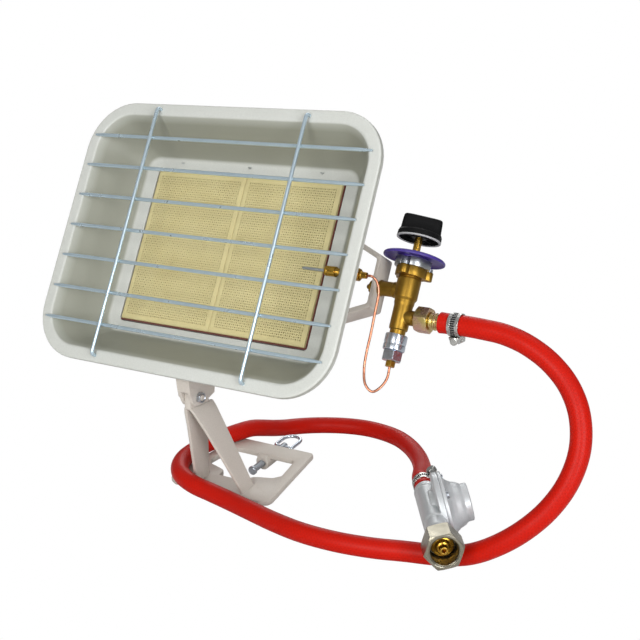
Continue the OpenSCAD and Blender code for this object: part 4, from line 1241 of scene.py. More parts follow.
@dataclass
class BurnerTiles(Assembly):
    """Two ceramic tiles with a staggered grid of flame holes.

    Attributes:
        width, height: a tile's size.
        back, face: where the tile starts and ends along W.
        border: width of the plain edge.
        pitch: distance between holes.
        hole: radius of the larger holes.
        small: radius of the smaller ones.
        depth: how deep the holes are modelled.
    """

    width: float = 92.0
    height: float = 132.0
    back: float = -53.0
    face: float = -40.0
    border: float = 4.0
    pitch: float = 2.0
    hole: float = 0.62
    small: float = 0.44
    depth: float = 1.6

    def tile(self, side: int) -> Object:
        """Makes one tile.

        Args:
            side: -1 for the left tile, 1 for the right.
        Returns:
            The tile.
        """
        bm = bmesh.new()
        left = 0.01 if side > 0 else -self.width - 0.01
        cols = int((self.width - 2 * self.border) / self.pitch)
        rows = int((self.height - 2 * self.border) / self.pitch)
        x0, y0 = left + self.border, -self.height / 2 + self.border
        grid = [[bm.verts.new((x0 + i * self.pitch, y0 + j * self.pitch, self.face)) for i in range(cols + 1)]
                for j in range(rows + 1)]
        for j in range(rows):
            for i in range(cols):
                self.cell(bm, (grid[j][i], grid[j][i + 1], grid[j + 1][i + 1], grid[j + 1][i]),
                          self.hole if (i + j) % 2 else self.small)
        rim = ([grid[0][i] for i in range(cols)] + [grid[j][cols] for j in range(rows)]
               + [grid[rows][i] for i in range(cols, 0, -1)] + [grid[j][0] for j in range(rows, 0, -1)])
        self.skirt(bm, rim, left)
        name = "ceramic_tile_right" if side > 0 else "ceramic_tile_left"
        return finish_mesh(name, bm, HEAD, 35.0, merge=0)

    def cell(self, bm: BMesh, corners: Sequence[BMVert], radius: float) -> None:
        """Fills one square of the grid round its hole.

        Args:
            bm: the mesh.
            corners: the square's corners, anticlockwise from its lower left.
            radius: the hole's radius.
        """
        centre = (corners[0].co + corners[2].co) / 2
        turn = [radians(22.5 + 45 * k) for k in range(8)]
        top = [bm.verts.new(centre + polar(radius, a)) for a in turn]
        low = [bm.verts.new(v.co - Vector((0, 0, self.depth))) for v in top]
        c0, c1, c2, c3 = corners
        for quad in ((c1, c2, top[0], top[7]), (c2, c3, top[2], top[1]), (c3, c0, top[4], top[3]),
                     (c0, c1, top[6], top[5])):
            bm.faces.new(quad)
        for tri in ((c2, top[1], top[0]), (c3, top[3], top[2]), (c0, top[5], top[4]), (c1, top[7], top[6])):
            bm.faces.new(tri)
        for k in range(8):
            bm.faces.new((top[k], top[(k + 1) % 8], low[(k + 1) % 8], low[k]))
        bm.faces.new(low)

    def skirt(self, bm: BMesh, rim: Sequence[BMVert], left: float) -> None:
        """Adds the plain border, the rounded edge and the sides.

        Args:
            bm: the mesh.
            rim: the grid's outer vertices in order.
            left: the tile's left edge.
        """
        right, top = left + self.width, self.height / 2
        near = self.border + 0.01

        def ring(inset: float, w: float) -> list[BMVert]:
            """Adds the rim's vertices again, moved out to an inset from the tile's edge."""
            out = []
            for v in rim:
                x = min(max(v.co.x, left + near), right - near)
                x = left + inset if v.co.x <= left + near else x
                x = right - inset if v.co.x >= right - near else x
                y = -top + inset if v.co.y <= -top + near else v.co.y
                y = top - inset if v.co.y >= top - near else y
                out.append(bm.verts.new((x, y, w)))
            return out

        rings = [list(rim), ring(3.4, self.face), ring(0.9, self.face), ring(0.25, self.face - 0.25),
                 ring(0.0, self.face - 0.9), ring(0.0, self.back)]
        count = len(rim)
        for low, high in zip(rings[:-1], rings[1:]):
            for k in range(count):
                bm.faces.new((low[k], low[(k + 1) % count], high[(k + 1) % count], high[k]))
        bm.faces.new(rings[-1])

    def build(self) -> None:
        """Makes both tiles."""
        self.keep(self.tile(-1), Body.HEAD, Finishes.ceramic, "ceramic", "burner_tile_left")
        self.keep(self.tile(1), Body.HEAD, Finishes.ceramic, "ceramic", "burner_tile_right")


@dataclass
class Guard(Assembly):
    """Seven cross wires welded to two hooked upright wires.

    Attributes:
        half: half the cross wires' length.
        pitch: distance between them.
        cross_w, upright_w: how far in front of the rim the two layers lie.
        gap, length: distance between the uprights, and their length.
        radius: the wires' radius.
        bend: the hooks' bend radius.
        hook: how far the hooks go on.
    """

    half: float = 135.0
    pitch: float = 26.7
    cross_w: float = 1.8
    upright_w: float = 4.8
    gap: float = 146.0
    length: float = 211.0
    radius: float = 1.5
    bend: float = 3.0
    hook: float = 6.0

    def build(self) -> None:
        """Makes the wires and their welds."""
        wires = []
        for k in range(-3, 4):
            v = self.pitch * k
            line = even_spacing([Vector((-self.half, v, self.cross_w)),
                                 Vector((self.half, v, self.cross_w))], 9.0)
            wires.append(sweep(f"wire_{k}", line, self.radius, HEAD, 20, tip=0.5))
        self.keep(merged("guard_cross_bars", wires), Body.HEAD, Finishes.wire_zinc, "zinc",
                  "guard_cross_wires")
        uprights = []
        for side in (-1, 1):
            u = side * self.gap / 2
            points: list[Vector] = []
            top = self.length / 2
            for end in (-1, 1):
                arc = []
                for k in range(9):
                    a = pi / 2 * k / 8
                    arc.append(Vector((u, end * (top - self.bend + self.bend * sin(a)),
                                       self.upright_w - self.bend + self.bend * cos(a))))
                arc.append(Vector((u, end * top, self.upright_w - self.bend - self.hook)))
                points += arc[::-1] if end < 0 else arc
            uprights.append(sweep(f"upright_{side}", points, self.radius, HEAD, 20, tip=0.4))
            for k in range(-3, 4):
                uprights.append(self.weld(u, self.pitch * k))
        self.keep(merged("guard_uprights", uprights), Body.HEAD, Finishes.wire_zinc, "zinc",
                  "guard_upright_wires")

    def weld(self, u: float, v: float) -> Object:
        """Makes the small squeezed bead where two wires are welded.

        Args:
            u, v: the crossing.
        Returns:
            The bead.
        """
        bm = bmesh.new()
        bmesh.ops.create_uvsphere(bm, u_segments=14, v_segments=8, radius=1.0)
        bmesh.ops.scale(bm, vec=(1.35, 1.35, 0.55), verts=bm.verts[:])
        bmesh.ops.translate(bm, vec=(u, v, (self.cross_w + self.upright_w) / 2), verts=bm.verts[:])
        return finish_mesh(f"weld_{u}_{v}", bm, HEAD, 60.0)


@dataclass
class Thermocouple(Assembly):
    """The flame sensor: probe, sleeve nut, hexagon, ferrule and copper lead.

    Attributes:
        tip, sleeve, hexagon_at, ferrule_at: where each piece starts along U.
        lead_radius: the lead's radius.
        route: the lead's route in the head, as (u, v, w).
    """

    tip: float = 76.0
    sleeve: float = 97.3
    hexagon_at: float = 115.8
    ferrule_at: float = 127.8
    lead_radius: float = 1.0
    route: tuple[Point, ...] = (
        (134, -5, -36), (137.8, -5, -37), (141, -8, -40), (143, -16, -43), (142, -30, -46), (141, -46, -49),
        (140, -60, -51), (140, -72, -53), (143, -83, -54), (149, -88, -56), (154, -84, -58), (157, -76, -60),
        (157, -67, -60))

    def build(self) -> None:
        """Makes the five pieces."""
        place = along_u(self.tip, PROBE_V, PROBE_W)
        probe = revolve("flame_probe", [(0, 0), (0.5, 0), (0.9, 0.5), (1.25, 2), (1.25, 14), (1.1, 14.3),
                                        (1.1, 14.8), (1.25, 15.1), (1.25, 21.3), (0, 21.3)], place, 28,
                        bevel=0.1)
        self.keep(probe, Body.HEAD, Finishes.screw_zinc, "nickel", "thermocouple_probe")
        place = along_u(self.sleeve, PROBE_V, PROBE_W)
        head = revolve("sleeve_head", [(0, 0), (3.2, 0), (4, 0.8), (4, 2.4), (3.7, 2.7), (3.7, 3.2),
                                       (4, 3.5), (4, 9.5), (0, 9.5)], place, 48, bevel=0.2)
        thread = threaded_rod("sleeve_thread", 3.0, 1.0, 9.4, 18.4, place, 32, 0.3)
        self.keep(merged("probe_sleeve", [head, thread]), Body.HEAD, Finishes.brass, "brass",
                  "thermocouple_inner_nut")
        nut = hexagon("probe_hexagon", 9, 12, along_u(self.hexagon_at, PROBE_V, PROBE_W))
        self.keep(nut, Body.HEAD, Finishes.brass, "brass", "thermocouple_outer_nut")
        ferrule = revolve("probe_ferrule", [(0, 0.02), (3.2, 0.02), (3.1, 1.4), (2.6, 2.0), (2.4, 5.8),
                                            (1.2, 6.1), (0, 6.1)],
                          along_u(self.ferrule_at, PROBE_V, PROBE_W), 40, bevel=0.25)
        self.keep(ferrule, Body.HEAD, Finishes.brass, "brass", "thermocouple_ferrule")
        line = even_spacing(catmull([Vector(p) for p in self.route], 10), 1.2)
        lead = sweep("copper_lead", line, self.lead_radius, HEAD, 18)
        self.keep(lead, Body.HEAD, Finishes.copper, "copper", "thermocouple_lead")


def lobed_outline(radius: float, centre: float, lobe: float, inward: bool, steps: int = 180
                  ) -> list[Flat]:
    """A circle with three lobes added, or three round notches cut.

    Args:
        radius: the circle's radius.
        centre: distance of the lobes' middles from the axis.
        lobe: their radius.
        inward: whether they are notches.
        steps: number of points.
    Returns:
        The outline.
    """
    points = []
    for k in range(steps):
        a = 2 * pi * k / steps
        off = (a - radians(30) + pi / 3) % (2 * pi / 3) - pi / 3
        r = radius
        if abs(off) < asin(min(1.0, lobe / centre)):
            reach = sqrt(lobe ** 2 - (centre * sin(off)) ** 2)
            r = min(r, centre * cos(off) - reach) if inward else max(r, centre * cos(off) + reach)
        points.append((r * cos(a), r * sin(a)))
    return points


@dataclass
class Valve(Assembly):
    """The gas valve with its flange, collar, disc, magnet housing and nuts.

    Attributes:
        body, flange, collar, disc: outer radii.
        lobe, lobe_at: radius and distance of the flange's screw lobes.
        stubs: height, reach along U and radius of the outlet and inlet stubs.
    """

    body: float = 7.75
    flange: float = 12.0
    collar: float = 14.0
    disc: float = 24.0
    lobe: float = 3.6
    lobe_at: float = 13.0
    stubs: tuple[tuple[float, float, float], ...] = ((-8.0, -23.0, 6.25), (-28.0, 14.0, 5.75))

    def casting(self) -> Object:
        """Makes the brass body with its stubs."""
        b = self.body
        barrel = revolve("barrel", [
            (0, -44), (5.5, -44), (6, -43.4), (6, -38.6), (7.1, -38), (7.1, -37.2), (7.25, -37),
            (7.25, -19.5), (b, -17.5), (b, -15.6), (b + 1.3, -13.4), (b + 1.4, 1.2), (b + 0.9, 1.8),
            (b + 0.9, 3), (0, 3)], VALVE, 72, bevel=0.3)
        parts = [barrel]
        for z, reach, radius in self.stubs:
            side = copysign(1, reach)
            place = VALVE @ Matrix.Translation((0, 0, z)) @ Matrix.Rotation(side * pi / 2, 4, "Y")
            end = abs(reach)
            profile = [(0, 3), (radius, 3), (radius, 10.5), (radius - 0.5, 11), (radius - 0.5, end - 2.2),
                       (radius, end - 1.8), (radius, end), (0, end)]
            if side < 0:
                profile = profile[:-1] + [(4.7, end), (4.7, end + 3), (0, end + 3)]
            parts.append(revolve(f"stub_{z}", profile, place, 56, bevel=0.25))
        return merged("valve_casting", parts)

    def build(self) -> None:
        """Makes the valve's pieces."""
        self.keep(self.casting(), Body.HEAD, Finishes.forged_brass, "brass", "valve_body")
        outline = lobed_outline(self.flange, self.lobe_at, self.lobe, False)
        flange = plate("lobed_flange", [outline, round_outline(5.3, 48)], 3.02, 9.98, VALVE, 0.5)
        self.keep(flange, Body.HEAD, Finishes.forged_brass, "brass", "valve_flange")
        outline = lobed_outline(self.collar, self.lobe_at, 3.2, True)
        collar = plate("cast_collar", [outline, round_outline(3.1, 40)], 10.02, 16.98, VALVE, 0.7)
        self.keep(collar, Body.HEAD, Finishes.collar, "cast", "valve_collar")
        self.keep(self.saucer(), Body.HEAD, Finishes.indigo, "purple", "indicator_disc")
        cup = revolve("magnet_cup", [(0, -54.5), (7.9, -54.5), (8.5, -53.8), (8.5, -50.2), (8.2, -49.9),
                                     (8.2, -49.3), (8.5, -49), (8.5, -42.6), (8.1, -42.02), (0, -42.02)],
                      VALVE, 64, bevel=0.3)
        self.keep(cup, Body.HEAD, Finishes.zinc, "zinc", "magnet_housing")
        nut = hexagon("magnet_nut", 14, 7.98, VALVE @ Matrix.Translation((0, 0, -62.5)))
        self.keep(nut, Body.HEAD, Finishes.zinc, "zinc", "magnet_hexagon")
        nut = hexagon("copper_lead_nut", 7, 4.48, VALVE @ Matrix.Translation((0, 0, -67)))
        self.keep(nut, Body.HEAD, Finishes.brass, "brass", "lead_nut")
        spring = self.keep(self.spring(), Body.HEAD, Finishes.steel, "steel", "stem_spring")
        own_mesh(spring)
        barb = revolve("hose_barb", [
            (0, 0.02), (3.95, 0.02), (3.95, 10.9), (6.2, 11.02), (6.8, 11.6), (6.8, 13.0), (5.9, 13.5),
            (5.9, 14.3), (6.6, 14.8), (6.6, 15.9), (5.8, 16.4), (5.8, 17.2), (6.4, 17.8), (6.4, 18.98),
            (0, 18.98)], along_u(171, -28, VALVE_W), 56, bevel=0.2)
        self.keep(barb, Body.HEAD, Finishes.olive, "olive_zinc", "inlet_hose_barb")
        nut = hexagon("inlet_nut", 18, 10.98, along_u(171, -28, VALVE_W), bore=4.02)
        self.keep(nut, Body.HEAD, Finishes.olive, "olive_zinc", "inlet_union_nut")

    def spring(self) -> Object:
        """Makes the stem's coil spring."""
        turns, rise, coil, wire = 3.5, 3.2, 4.25, 0.55
        points = [polar(coil, a, 3.6 + rise * a / (2 * pi * turns))
                  for a in (2 * pi * turns * k / 112 for k in range(113))]
        return sweep("coil_spring", points, wire, VALVE, 12)

    def saucer(self) -> Object:
        """Makes the indicator disc, a thin saucer with a turned-down rim."""
        r = self.disc
        return revolve("status_disc", [
            (3.05, 16.6), (3.05, 20.0), (r - 7, 20.0), (r - 3, 19.75), (r - 1, 19.2), (r - 0.2, 18.5),
            (r, 17.9), (r, 17.1), (r - 0.3, 16.62), (r - 1.1, 16.62), (r - 1.4, 17.4), (r - 3, 18.0),
            (r - 6, 18.25), (11, 18.25), (11, 17.02), (3.05, 17.02)], VALVE, 120, bevel=0.15)


@dataclass
class ControlKnob(Assembly):
    """The knob: a hollow skirt with ribs inside and a bar grip on top.

    Attributes:
        radius, wall: the skirt's outer radius and wall.
        low, mid, high: heights of the skirt's rim, its top and the grip's top.
        grip: the grip's length and width.
        turn: the grip's angle in degrees.
    """

    radius: float = 17.25
    wall: float = 2.0
    low: float = 32.5
    mid: float = 38.5
    high: float = 51.0
    grip: Flat = (32.0, 13.0)
    turn: float = 29.0

    def skirt(self) -> Object:
        """Makes the skirt with its hub and ribs."""
        r, w = self.radius, self.wall
        shell = revolve("skirt_shell", [
            (0, self.mid - 2), (r - w - 0.8, self.mid - 2), (r - w, self.mid - 2.8), (r - w, self.low + 0.3),
            (r - w + 0.3, self.low), (r - 0.3, self.low), (r, self.low + 0.3), (r, self.low + 1.1),
            (r - 0.15, self.low + 1.25), (r - 0.3, self.mid - 1.2), (r - 1.2, self.mid - 0.25),
            (r - 2.2, self.mid), (0, self.mid)], VALVE, 96, bevel=0.2)
        hub = revolve("hub", [(3.05, self.low + 1.5), (5.6, self.low + 1.5), (6, self.low + 1.9),
                              (6, self.mid - 1.9), (3.05, self.mid - 1.9)], VALVE, 48)
        dress(shell, Finishes.black, Finishes.pale_rim)
        axis = (VALVE.to_3x3() @ Vector((0, 0, 1))).normalized()
        for poly in shell.data.polygons:
            height = (poly.center - VALVE.translation * MM).dot(axis) / MM
            if height < self.low + 1.15:
                poly.material_index = 1
        ribs = []
        for k in range(6):
            place = VALVE @ Matrix.Rotation(pi / 3 * k + 0.4, 4, "Z")
            outline = [(5.6, -0.6), (r - w + 0.2, -0.6), (r - w + 0.2, 0.6), (5.6, 0.6)]
            ribs.append(plate(f"rib_{k}", [outline], self.low + 2.4, self.mid - 1.9, place, 0.15))
        for part in (hub, *ribs):
            dress(part, Finishes.black)
        return merged("knob_skirt", [shell, hub, *ribs])

    def bar(self) -> Object:
        """Makes the bar grip with its rounded ends and hollowed flanks."""
        half_l, half_w = self.grip[0] / 2, self.grip[1] / 2
        loops = []
        steps = 64
        levels = [(self.mid - 0.6, 0.9, 0.0), (self.mid, 0.7, 0.0), (self.mid + 0.5, 0.25, 0.0),
                  (self.mid + 1.2, 0.0, 0.0), (self.mid + 4, -0.15, 0.25), (self.mid + 8, -0.35, 0.3),
                  (self.high - 1.6, -0.6, 0.1), (self.high - 0.7, -0.95, 0.0), (self.high - 0.2, -1.6, 0.0),
                  (self.high, -2.6, 0.0)]
        for z, grow, hollow in levels:
            loop = []
            for k in range(steps):
                a = 2 * pi * k / steps
                c, s = cos(a), sin(a)
                x = copysign(abs(c) ** 0.42, c) * (half_l + grow - 0.4)
                waist = 1 - hollow * (1 - min(1.0, abs(x) / half_l) ** 2) * 0.4
                y = copysign(abs(s) ** 0.5, s) * (half_w + grow) * waist
                limit = sqrt(max(0.0, (half_l + min(grow, 0.6)) ** 2 - y * y))
                loop.append(Vector((max(-limit, min(limit, x)), y, z)))
            loops.append(loop)
        bm = bmesh.new()
        ring_grid(bm, loops, cap_start=True, cap_end=True)
        place = VALVE @ Matrix.Rotation(radians(self.turn), 4, "Z")
        return dress(finish_mesh("knob_bar", bm, place, 40.0), Finishes.black)

    def build(self) -> None:
        """Makes the knob as one piece."""
        self.keep(merged("knob", [self.skirt(), self.bar()]), Body.KNOB, Finishes.black, "black",
                  "control_knob")


@dataclass
class ValveBracket(Assembly):
    """The bent strap that carries the valve.

    Attributes:
        width: the strap's width.
        outline: the strap's side outline in the head, as (u, v).
    """

    width: float = 20.0
    outline: tuple[Flat, ...] = (
        (97.2, 27), (131, 12.5), (131, -23), (97.2, -37), (97.2, -49), (100.2, -49), (100.2, -40), (134, -26),
        (134, 15.5), (100.2, 30), (100.2, 39), (97.2, 39))

    def build(self) -> None:
        """Makes the strap."""
        place = HEAD @ Matrix.Translation((0, 0, VALVE_W))
        strap = plate("valve_strap", [self.outline], -self.width / 2, self.width / 2, place, 0.35, smooth=1.6)
        self.keep(strap, Body.HEAD, Finishes.warm_paint, "paint_warm", "valve_bracket")


@dataclass
class Stand(Assembly):
    """The painted base frame: plate, screw barrel, two legs and the hinge lug.

    Attributes:
        thick: the plate's thickness.
        outer, inner: the plate's outline and its window.
        leg_line: the legs' middle, as (x, z).
        front, back: the legs' front and back edges, as (y, z).
        leg: the legs' thickness.
    """

    thick: float = 5.0
    outer: tuple[Flat, ...] = (
        (-44, 0), (44, 0), (50.4, 3.4), (52, 8), (42, 88), (40, 90), (-40, 90), (-42, 88), (-52, 8),
        (-50.4, 3.4))
    inner: tuple[Flat, ...] = (
        (-30.5, 72), (30.5, 72), (33.5, 69), (37.5, 44), (32.5, 38), (22, 35), (16, 33), (14, 30), (14, 24),
        (-14, 24), (-14, 30), (-16, 33), (-22, 35), (-32.5, 38), (-37.5, 44), (-33.5, 69))
    leg_line: tuple[Flat, ...] = ((24.5, 1.5), (24.2, 5), (15.6, 39), (9.6, 62), (4.2, 82), (2.0, 86.5))
    front: tuple[Flat, ...] = ((4, 0), (4, 5), (-11, 38), (-24, 66), (-34.6, 86.5))
    back: tuple[Flat, ...] = ((21, 0), (21, 5), (-3, 80), (-5, 86.5))
    leg: float = 3.0

    def base(self) -> Object:
        """Makes the plate."""
        window = list(reversed(self.inner))
        return plate("base_plate", [self.outer, window], 0.0, self.thick, STAND, 1.1, smooth=1.2)

    def barrel(self) -> Object:
        """Makes the tube that the clamp screw runs in, with its saddle under the plate."""
        tube = revolve("screw_tube", [(3.2, 0.6), (3.8, 0), (5.9, 0), (6.5, 0.6), (6.5, 20.4), (5.9, 21),
                                      (3.8, 21), (3.2, 20.4), (3.2, 0.6)], along_screw(68), 64)
        saddle = plate("saddle", [[(-5.2, 68.4), (5.2, 68.4), (5.2, 88.6), (-5.2, 88.6)]], -1.5, 3.6,
                       STAND, 0.6, smooth=0.8)
        return merged("screw_barrel", [tube, saddle])

    def leg_piece(self, side: int) -> Object:
        """Makes one leg as a bent flat strap that widens at its foot.

        Args:
            side: -1 for the left leg, 1 for the right.
        Returns:
            The leg.
        """
        heights = [1.5, 3, 4.6, 5.4, 6.6, 8.5, 12, 16, 21, 26, 31, 36, 41, 46, 51, 56, 61, 66, 70, 74, 78,
                   81, 84, 86.5]
        loops = []
        for z in heights:
            x = float(np.interp(z, [p[1] for p in self.leg_line], [p[0] for p in self.leg_line]))
            low = float(np.interp(z, [p[1] for p in self.front], [p[0] for p in self.front]))
            high = float(np.interp(z, [p[1] for p in self.back], [p[0] for p in self.back]))
            flare = 1.1 * exp(-max(0.0, z - 5.0) / 1.8)
            half = self.leg / 2 + flare * 0.6
            loop = rounded_loop(half, (high - low) / 2 + flare, min(0.9, half - 0.05), 0.0, corner=5, side=5)
            loops.append([Vector((side * x + p.x, (low + high) / 2 + p.y, z)) for p in loop])
        bm = bmesh.new()
        ring_grid(bm, loops, cap_start=True, cap_end=True)
        return finish_mesh(f"leg_{side}", bm, WORLD, 40.0)

    def lug(self) -> Object:
        """Makes the eye that the hinge pin passes through."""
        place = Matrix.Rotation(pi / 2, 4, "Z") @ Matrix.Rotation(pi / 2, 4, "X")
        y, z, eye = HINGE.y, HINGE.z, 7.5
        arc = [(y + eye * cos(a), z + eye * sin(a)) for a in (pi * k / 18 for k in range(19))]
        outline = [(y + eye, z), *arc[1:], (y - 7.4, z - 9.6), (y + 20, z - 9.6), (y + 14, z - 4)]
        return plate("hinge_lug", [outline, round_outline(2.55, 36, y, z)], -3.0, 3.0, place, 0.6)

    def build(self) -> None:
        """Makes the frame as one painted piece."""
        parts = [self.base(), self.barrel(), self.leg_piece(-1), self.leg_piece(1), self.lug()]
        self.keep(merged("stand_casting", parts), Body.STAND, Finishes.warm_paint, "paint_warm",
                  "stand_frame")


@dataclass
class HingeAndClamp(Assembly):
    """The hinge pin and nut, and the clamp screw with its tip and wire handle.

    Attributes:
        pitch: the screw thread's pitch.
        screw_radius, screw_start, screw_stop: the screw's size and ends.
        handle: the wire's radius.
        handle_at: where the handle crosses the screw.
        handle_half, handle_deep: half the handle's width, and its length.
    """

    pitch: float = 1.0
    screw_radius: float = 3.0
    screw_start: float = 56.1
    screw_stop: float = 106.0
    handle: float = 1.6
    handle_at: float = 102.1
    handle_half: float = 9.0
    handle_deep: float = 22.0

    def build(self) -> None:
        """Makes the five pieces."""
        place = Matrix.Translation(HINGE) @ Matrix.Rotation(pi / 2, 4, "Y")
        pin = revolve("pivot_pin", [(0, -13.3), (2.2, -13.3), (3.1, -12.6), (3.1, -7.0), (2.5, -6.8),
                                    (2.5, 9.6), (1.9, 10.3), (0, 10.3)], place, 40, bevel=0.3)
        self.keep(pin, Body.HEAD, Finishes.warm_paint, "paint_warm", "hinge_pin")
        nut = hexagon("pivot_nut", 8, 3.5, place @ Matrix.Translation((0, 0, 6.42)), bore=2.52)
        self.keep(nut, Body.HEAD, Finishes.screw_zinc, "zinc", "hinge_nut")
        tip = revolve("pressure_tip", [(0, 0), (3.5, 0), (4, 0.5), (4, 2.6), (3.2, 4), (0, 4)],
                      along_screw(52), 48, bevel=0.2)
        self.keep(tip, Body.SCREW_TIP, Finishes.screw_zinc, "zinc", "clamp_tip")
        screw = threaded_rod("thumb_screw", self.screw_radius, self.pitch, self.screw_start, self.screw_stop,
                             along_screw(0), 32, 0.32)
        self.keep(screw, Body.SCREW, Finishes.screw_zinc, "zinc", "clamp_screw")
        self.keep(self.loop(), Body.SCREW, Finishes.zinc, "zinc", "clamp_handle")

    def loop(self) -> Object:
        """Makes the bent wire handle as one closed loop."""
        half, bend = self.handle_half, 2.6
        end = self.handle_deep - half
        points = [Vector((x, 0, 0)) for x in np.linspace(-half + bend, half - bend, 9)]
        points += [Vector((half - bend + bend * sin(a), bend - bend * cos(a), 0))
                   for a in (pi / 2 * k / 6 for k in range(1, 7))]
        points += [Vector((half, y, 0)) for y in np.linspace(bend, end, 6)[1:]]
        points += [Vector((half * cos(a), end + half * sin(a), 0))
                   for a in (pi * k / 24 for k in range(1, 24))]
        points += [Vector((-half, y, 0)) for y in np.linspace(end, bend, 6)[:-1]]
        points += [Vector((-half + bend - bend * cos(a), bend - bend * sin(a), 0))
                   for a in (pi / 2 * k / 6 for k in range(0, 6))]
        loops = []
        count = len(points)
        for k, p in enumerate(points):
            ahead = (points[(k + 1) % count] - points[k - 1]).normalized()
            side = ahead.cross(Vector((0, 0, 1)))
            loops.append([p + self.handle * (cos(a) * Vector((0, 0, 1)) + sin(a) * side)
                          for a in (2 * pi * j / 20 for j in range(20))])
        bm = bmesh.new()
        ring_grid(bm, loops, wrap=True)
        return finish_mesh("wire_handle", bm, STAND @ Matrix.Translation((0, self.handle_at, -3)), 50.0)


@dataclass
class Hose(Assembly):
    """The gas hose, which lies free between the valve's inlet and the regulator.

    Attributes:
        radius: the hose's outer radius.
        bore: its inner radius.
        start: where it leaves the inlet.
        middle: the route between its two straight ends.
        sides: number of vertices round it.
        grip: distance of each clamp's middle from the hose's end.
        squeeze: how far a clamp presses it in.
        flare: how far its cut ends stand out.
        open_end: how deep the open ends are modelled.
    """

    radius: float = 7.75
    bore: float = 4.6
    start: Vector = field(default_factory=lambda: HEAD @ Vector((190.35, -28, VALVE_W)))
    middle: tuple[Point, ...] = (
        (225, 28, 168.5), (241, 28, 167), (259, 27, 162), (277, 26, 152), (292, 24, 137.5), (302, 20, 119),
        (305.5, 14, 97), (301.5, 6, 75), (291, -1, 55), (276, -8, 38), (257, -12, 23), (236, -13, 11.5),
        (214, -18, 7.8), (192, -25, 7.8), (168, -33, 7.8), (140, -38, 7.8), (110, -38, 7.8), (82, -33, 7.8),
        (56, -26, 7.8), (30, -19, 8), (6, -15, 9.5), (-13, -13, 11.5), (-31, -6, 13.5), (-43, 6, 15),
        (-49.5, 21, 16.8), (-50, 37, 18.8), (-47, 53, 21), (-41.5, 68, 23), (-35, 82, 25), (-30.5, 96, 25),
        (-28, 111, 21.3), (-27, 126, 16.8), (-24.5, 141, 13.2), (-20, 156, 10.8), (-12, 169.5, 9.2),
        (0, 181, 8.2), (16, 189.5, 7.8), (35, 193.5, 7.8), (56, 191.5, 7.8), (76, 184, 7.8), (95, 170, 7.8),
        (112, 151, 9), (127, 128, 13), (141, 103, 18))
    sides: int = 32
    grip: float = 12.5
    squeeze: float = 0.22
    flare: float = 0.24
    open_end: float = 6.0

    def route(self) -> list[Vector]:
        """The hose's route, with a straight run at each end."""
        first = [self.start, self.start + Vector((10, 0, 0)), self.start + Vector((20, 0, 0))]
        last = [REG_END - 26 * REG_DIR - Vector((0, 0, 1)), REG_END - 12 * REG_DIR, REG_END]
        return first + [Vector(p) for p in self.middle] + last

    def build(self) -> None:
        line = even_spacing(catmull(self.route(), 8), 3.0)
        total = sum((b - a).length for a, b in zip(line[:-1], line[1:]))

        def radius(run: float) -> float:
            """The hose's radius at a distance along it."""
            edge = min(run, total - run)
            clamp = abs(edge - self.grip)
            squeeze = self.squeeze * exp(-(clamp / 4.5) ** 4)
            flare = self.flare * exp(-edge / 3.0)
            return self.radius + flare - squeeze

        sides = self.sides
        outer = sweep_loops(line, radius, sides)
        bm = bmesh.new()
        uv = bm.loops.layers.uv.new("UVMap")
        rows = [[bm.verts.new(p) for p in loop] for loop in outer]
        runs = [k * total / (len(line) - 1) * MM for k in range(len(line))]
        for i in range(len(rows) - 1):
            for k in range(sides):
                j = (k + 1) % sides
                face = bm.faces.new((rows[i][k], rows[i][j], rows[i + 1][j], rows[i + 1][k]))
                spots = ((runs[i], k / sides), (runs[i], (k + 1) / sides), (runs[i + 1], (k + 1) / sides),
                         (runs[i + 1], k / sides))
                for corner, spot in zip(face.loops, spots):
                    corner[uv].uv = spot
        ends = ((rows[0], line[0], line[1] - line[0]), (rows[-1], line[-1], line[-2] - line[-1]))
        for row, centre, ahead in ends:
            inner = [bm.verts.new(centre + (v.co - centre) * (self.bore / self.radius)) for v in row]
            deep = [bm.verts.new(v.co + ahead.normalized() * self.open_end) for v in inner]
            for k in range(sides):
                j = (k + 1) % sides
                bm.faces.new((row[k], inner[k], inner[j], row[j]))
                bm.faces.new((inner[k], deep[k], deep[j], inner[j]))
            bm.faces.new(deep)
        obj = finish_mesh("hose_tube", bm, WORLD, 50.0, merge=0)
        dress(obj, Finishes.hose)
        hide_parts("gas_hose")
        LOG.info("hose length %.3f m", total * MM)
        self.total = total * MM
        self.line = [tuple(p * MM) for p in line]
        self.piece = obj

    def declare(self, pieces: Sequence[Object]) -> None:
        """Args:
            pieces: the clamp and regulator pieces at its far end; not used.
        """
        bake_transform(self.piece)


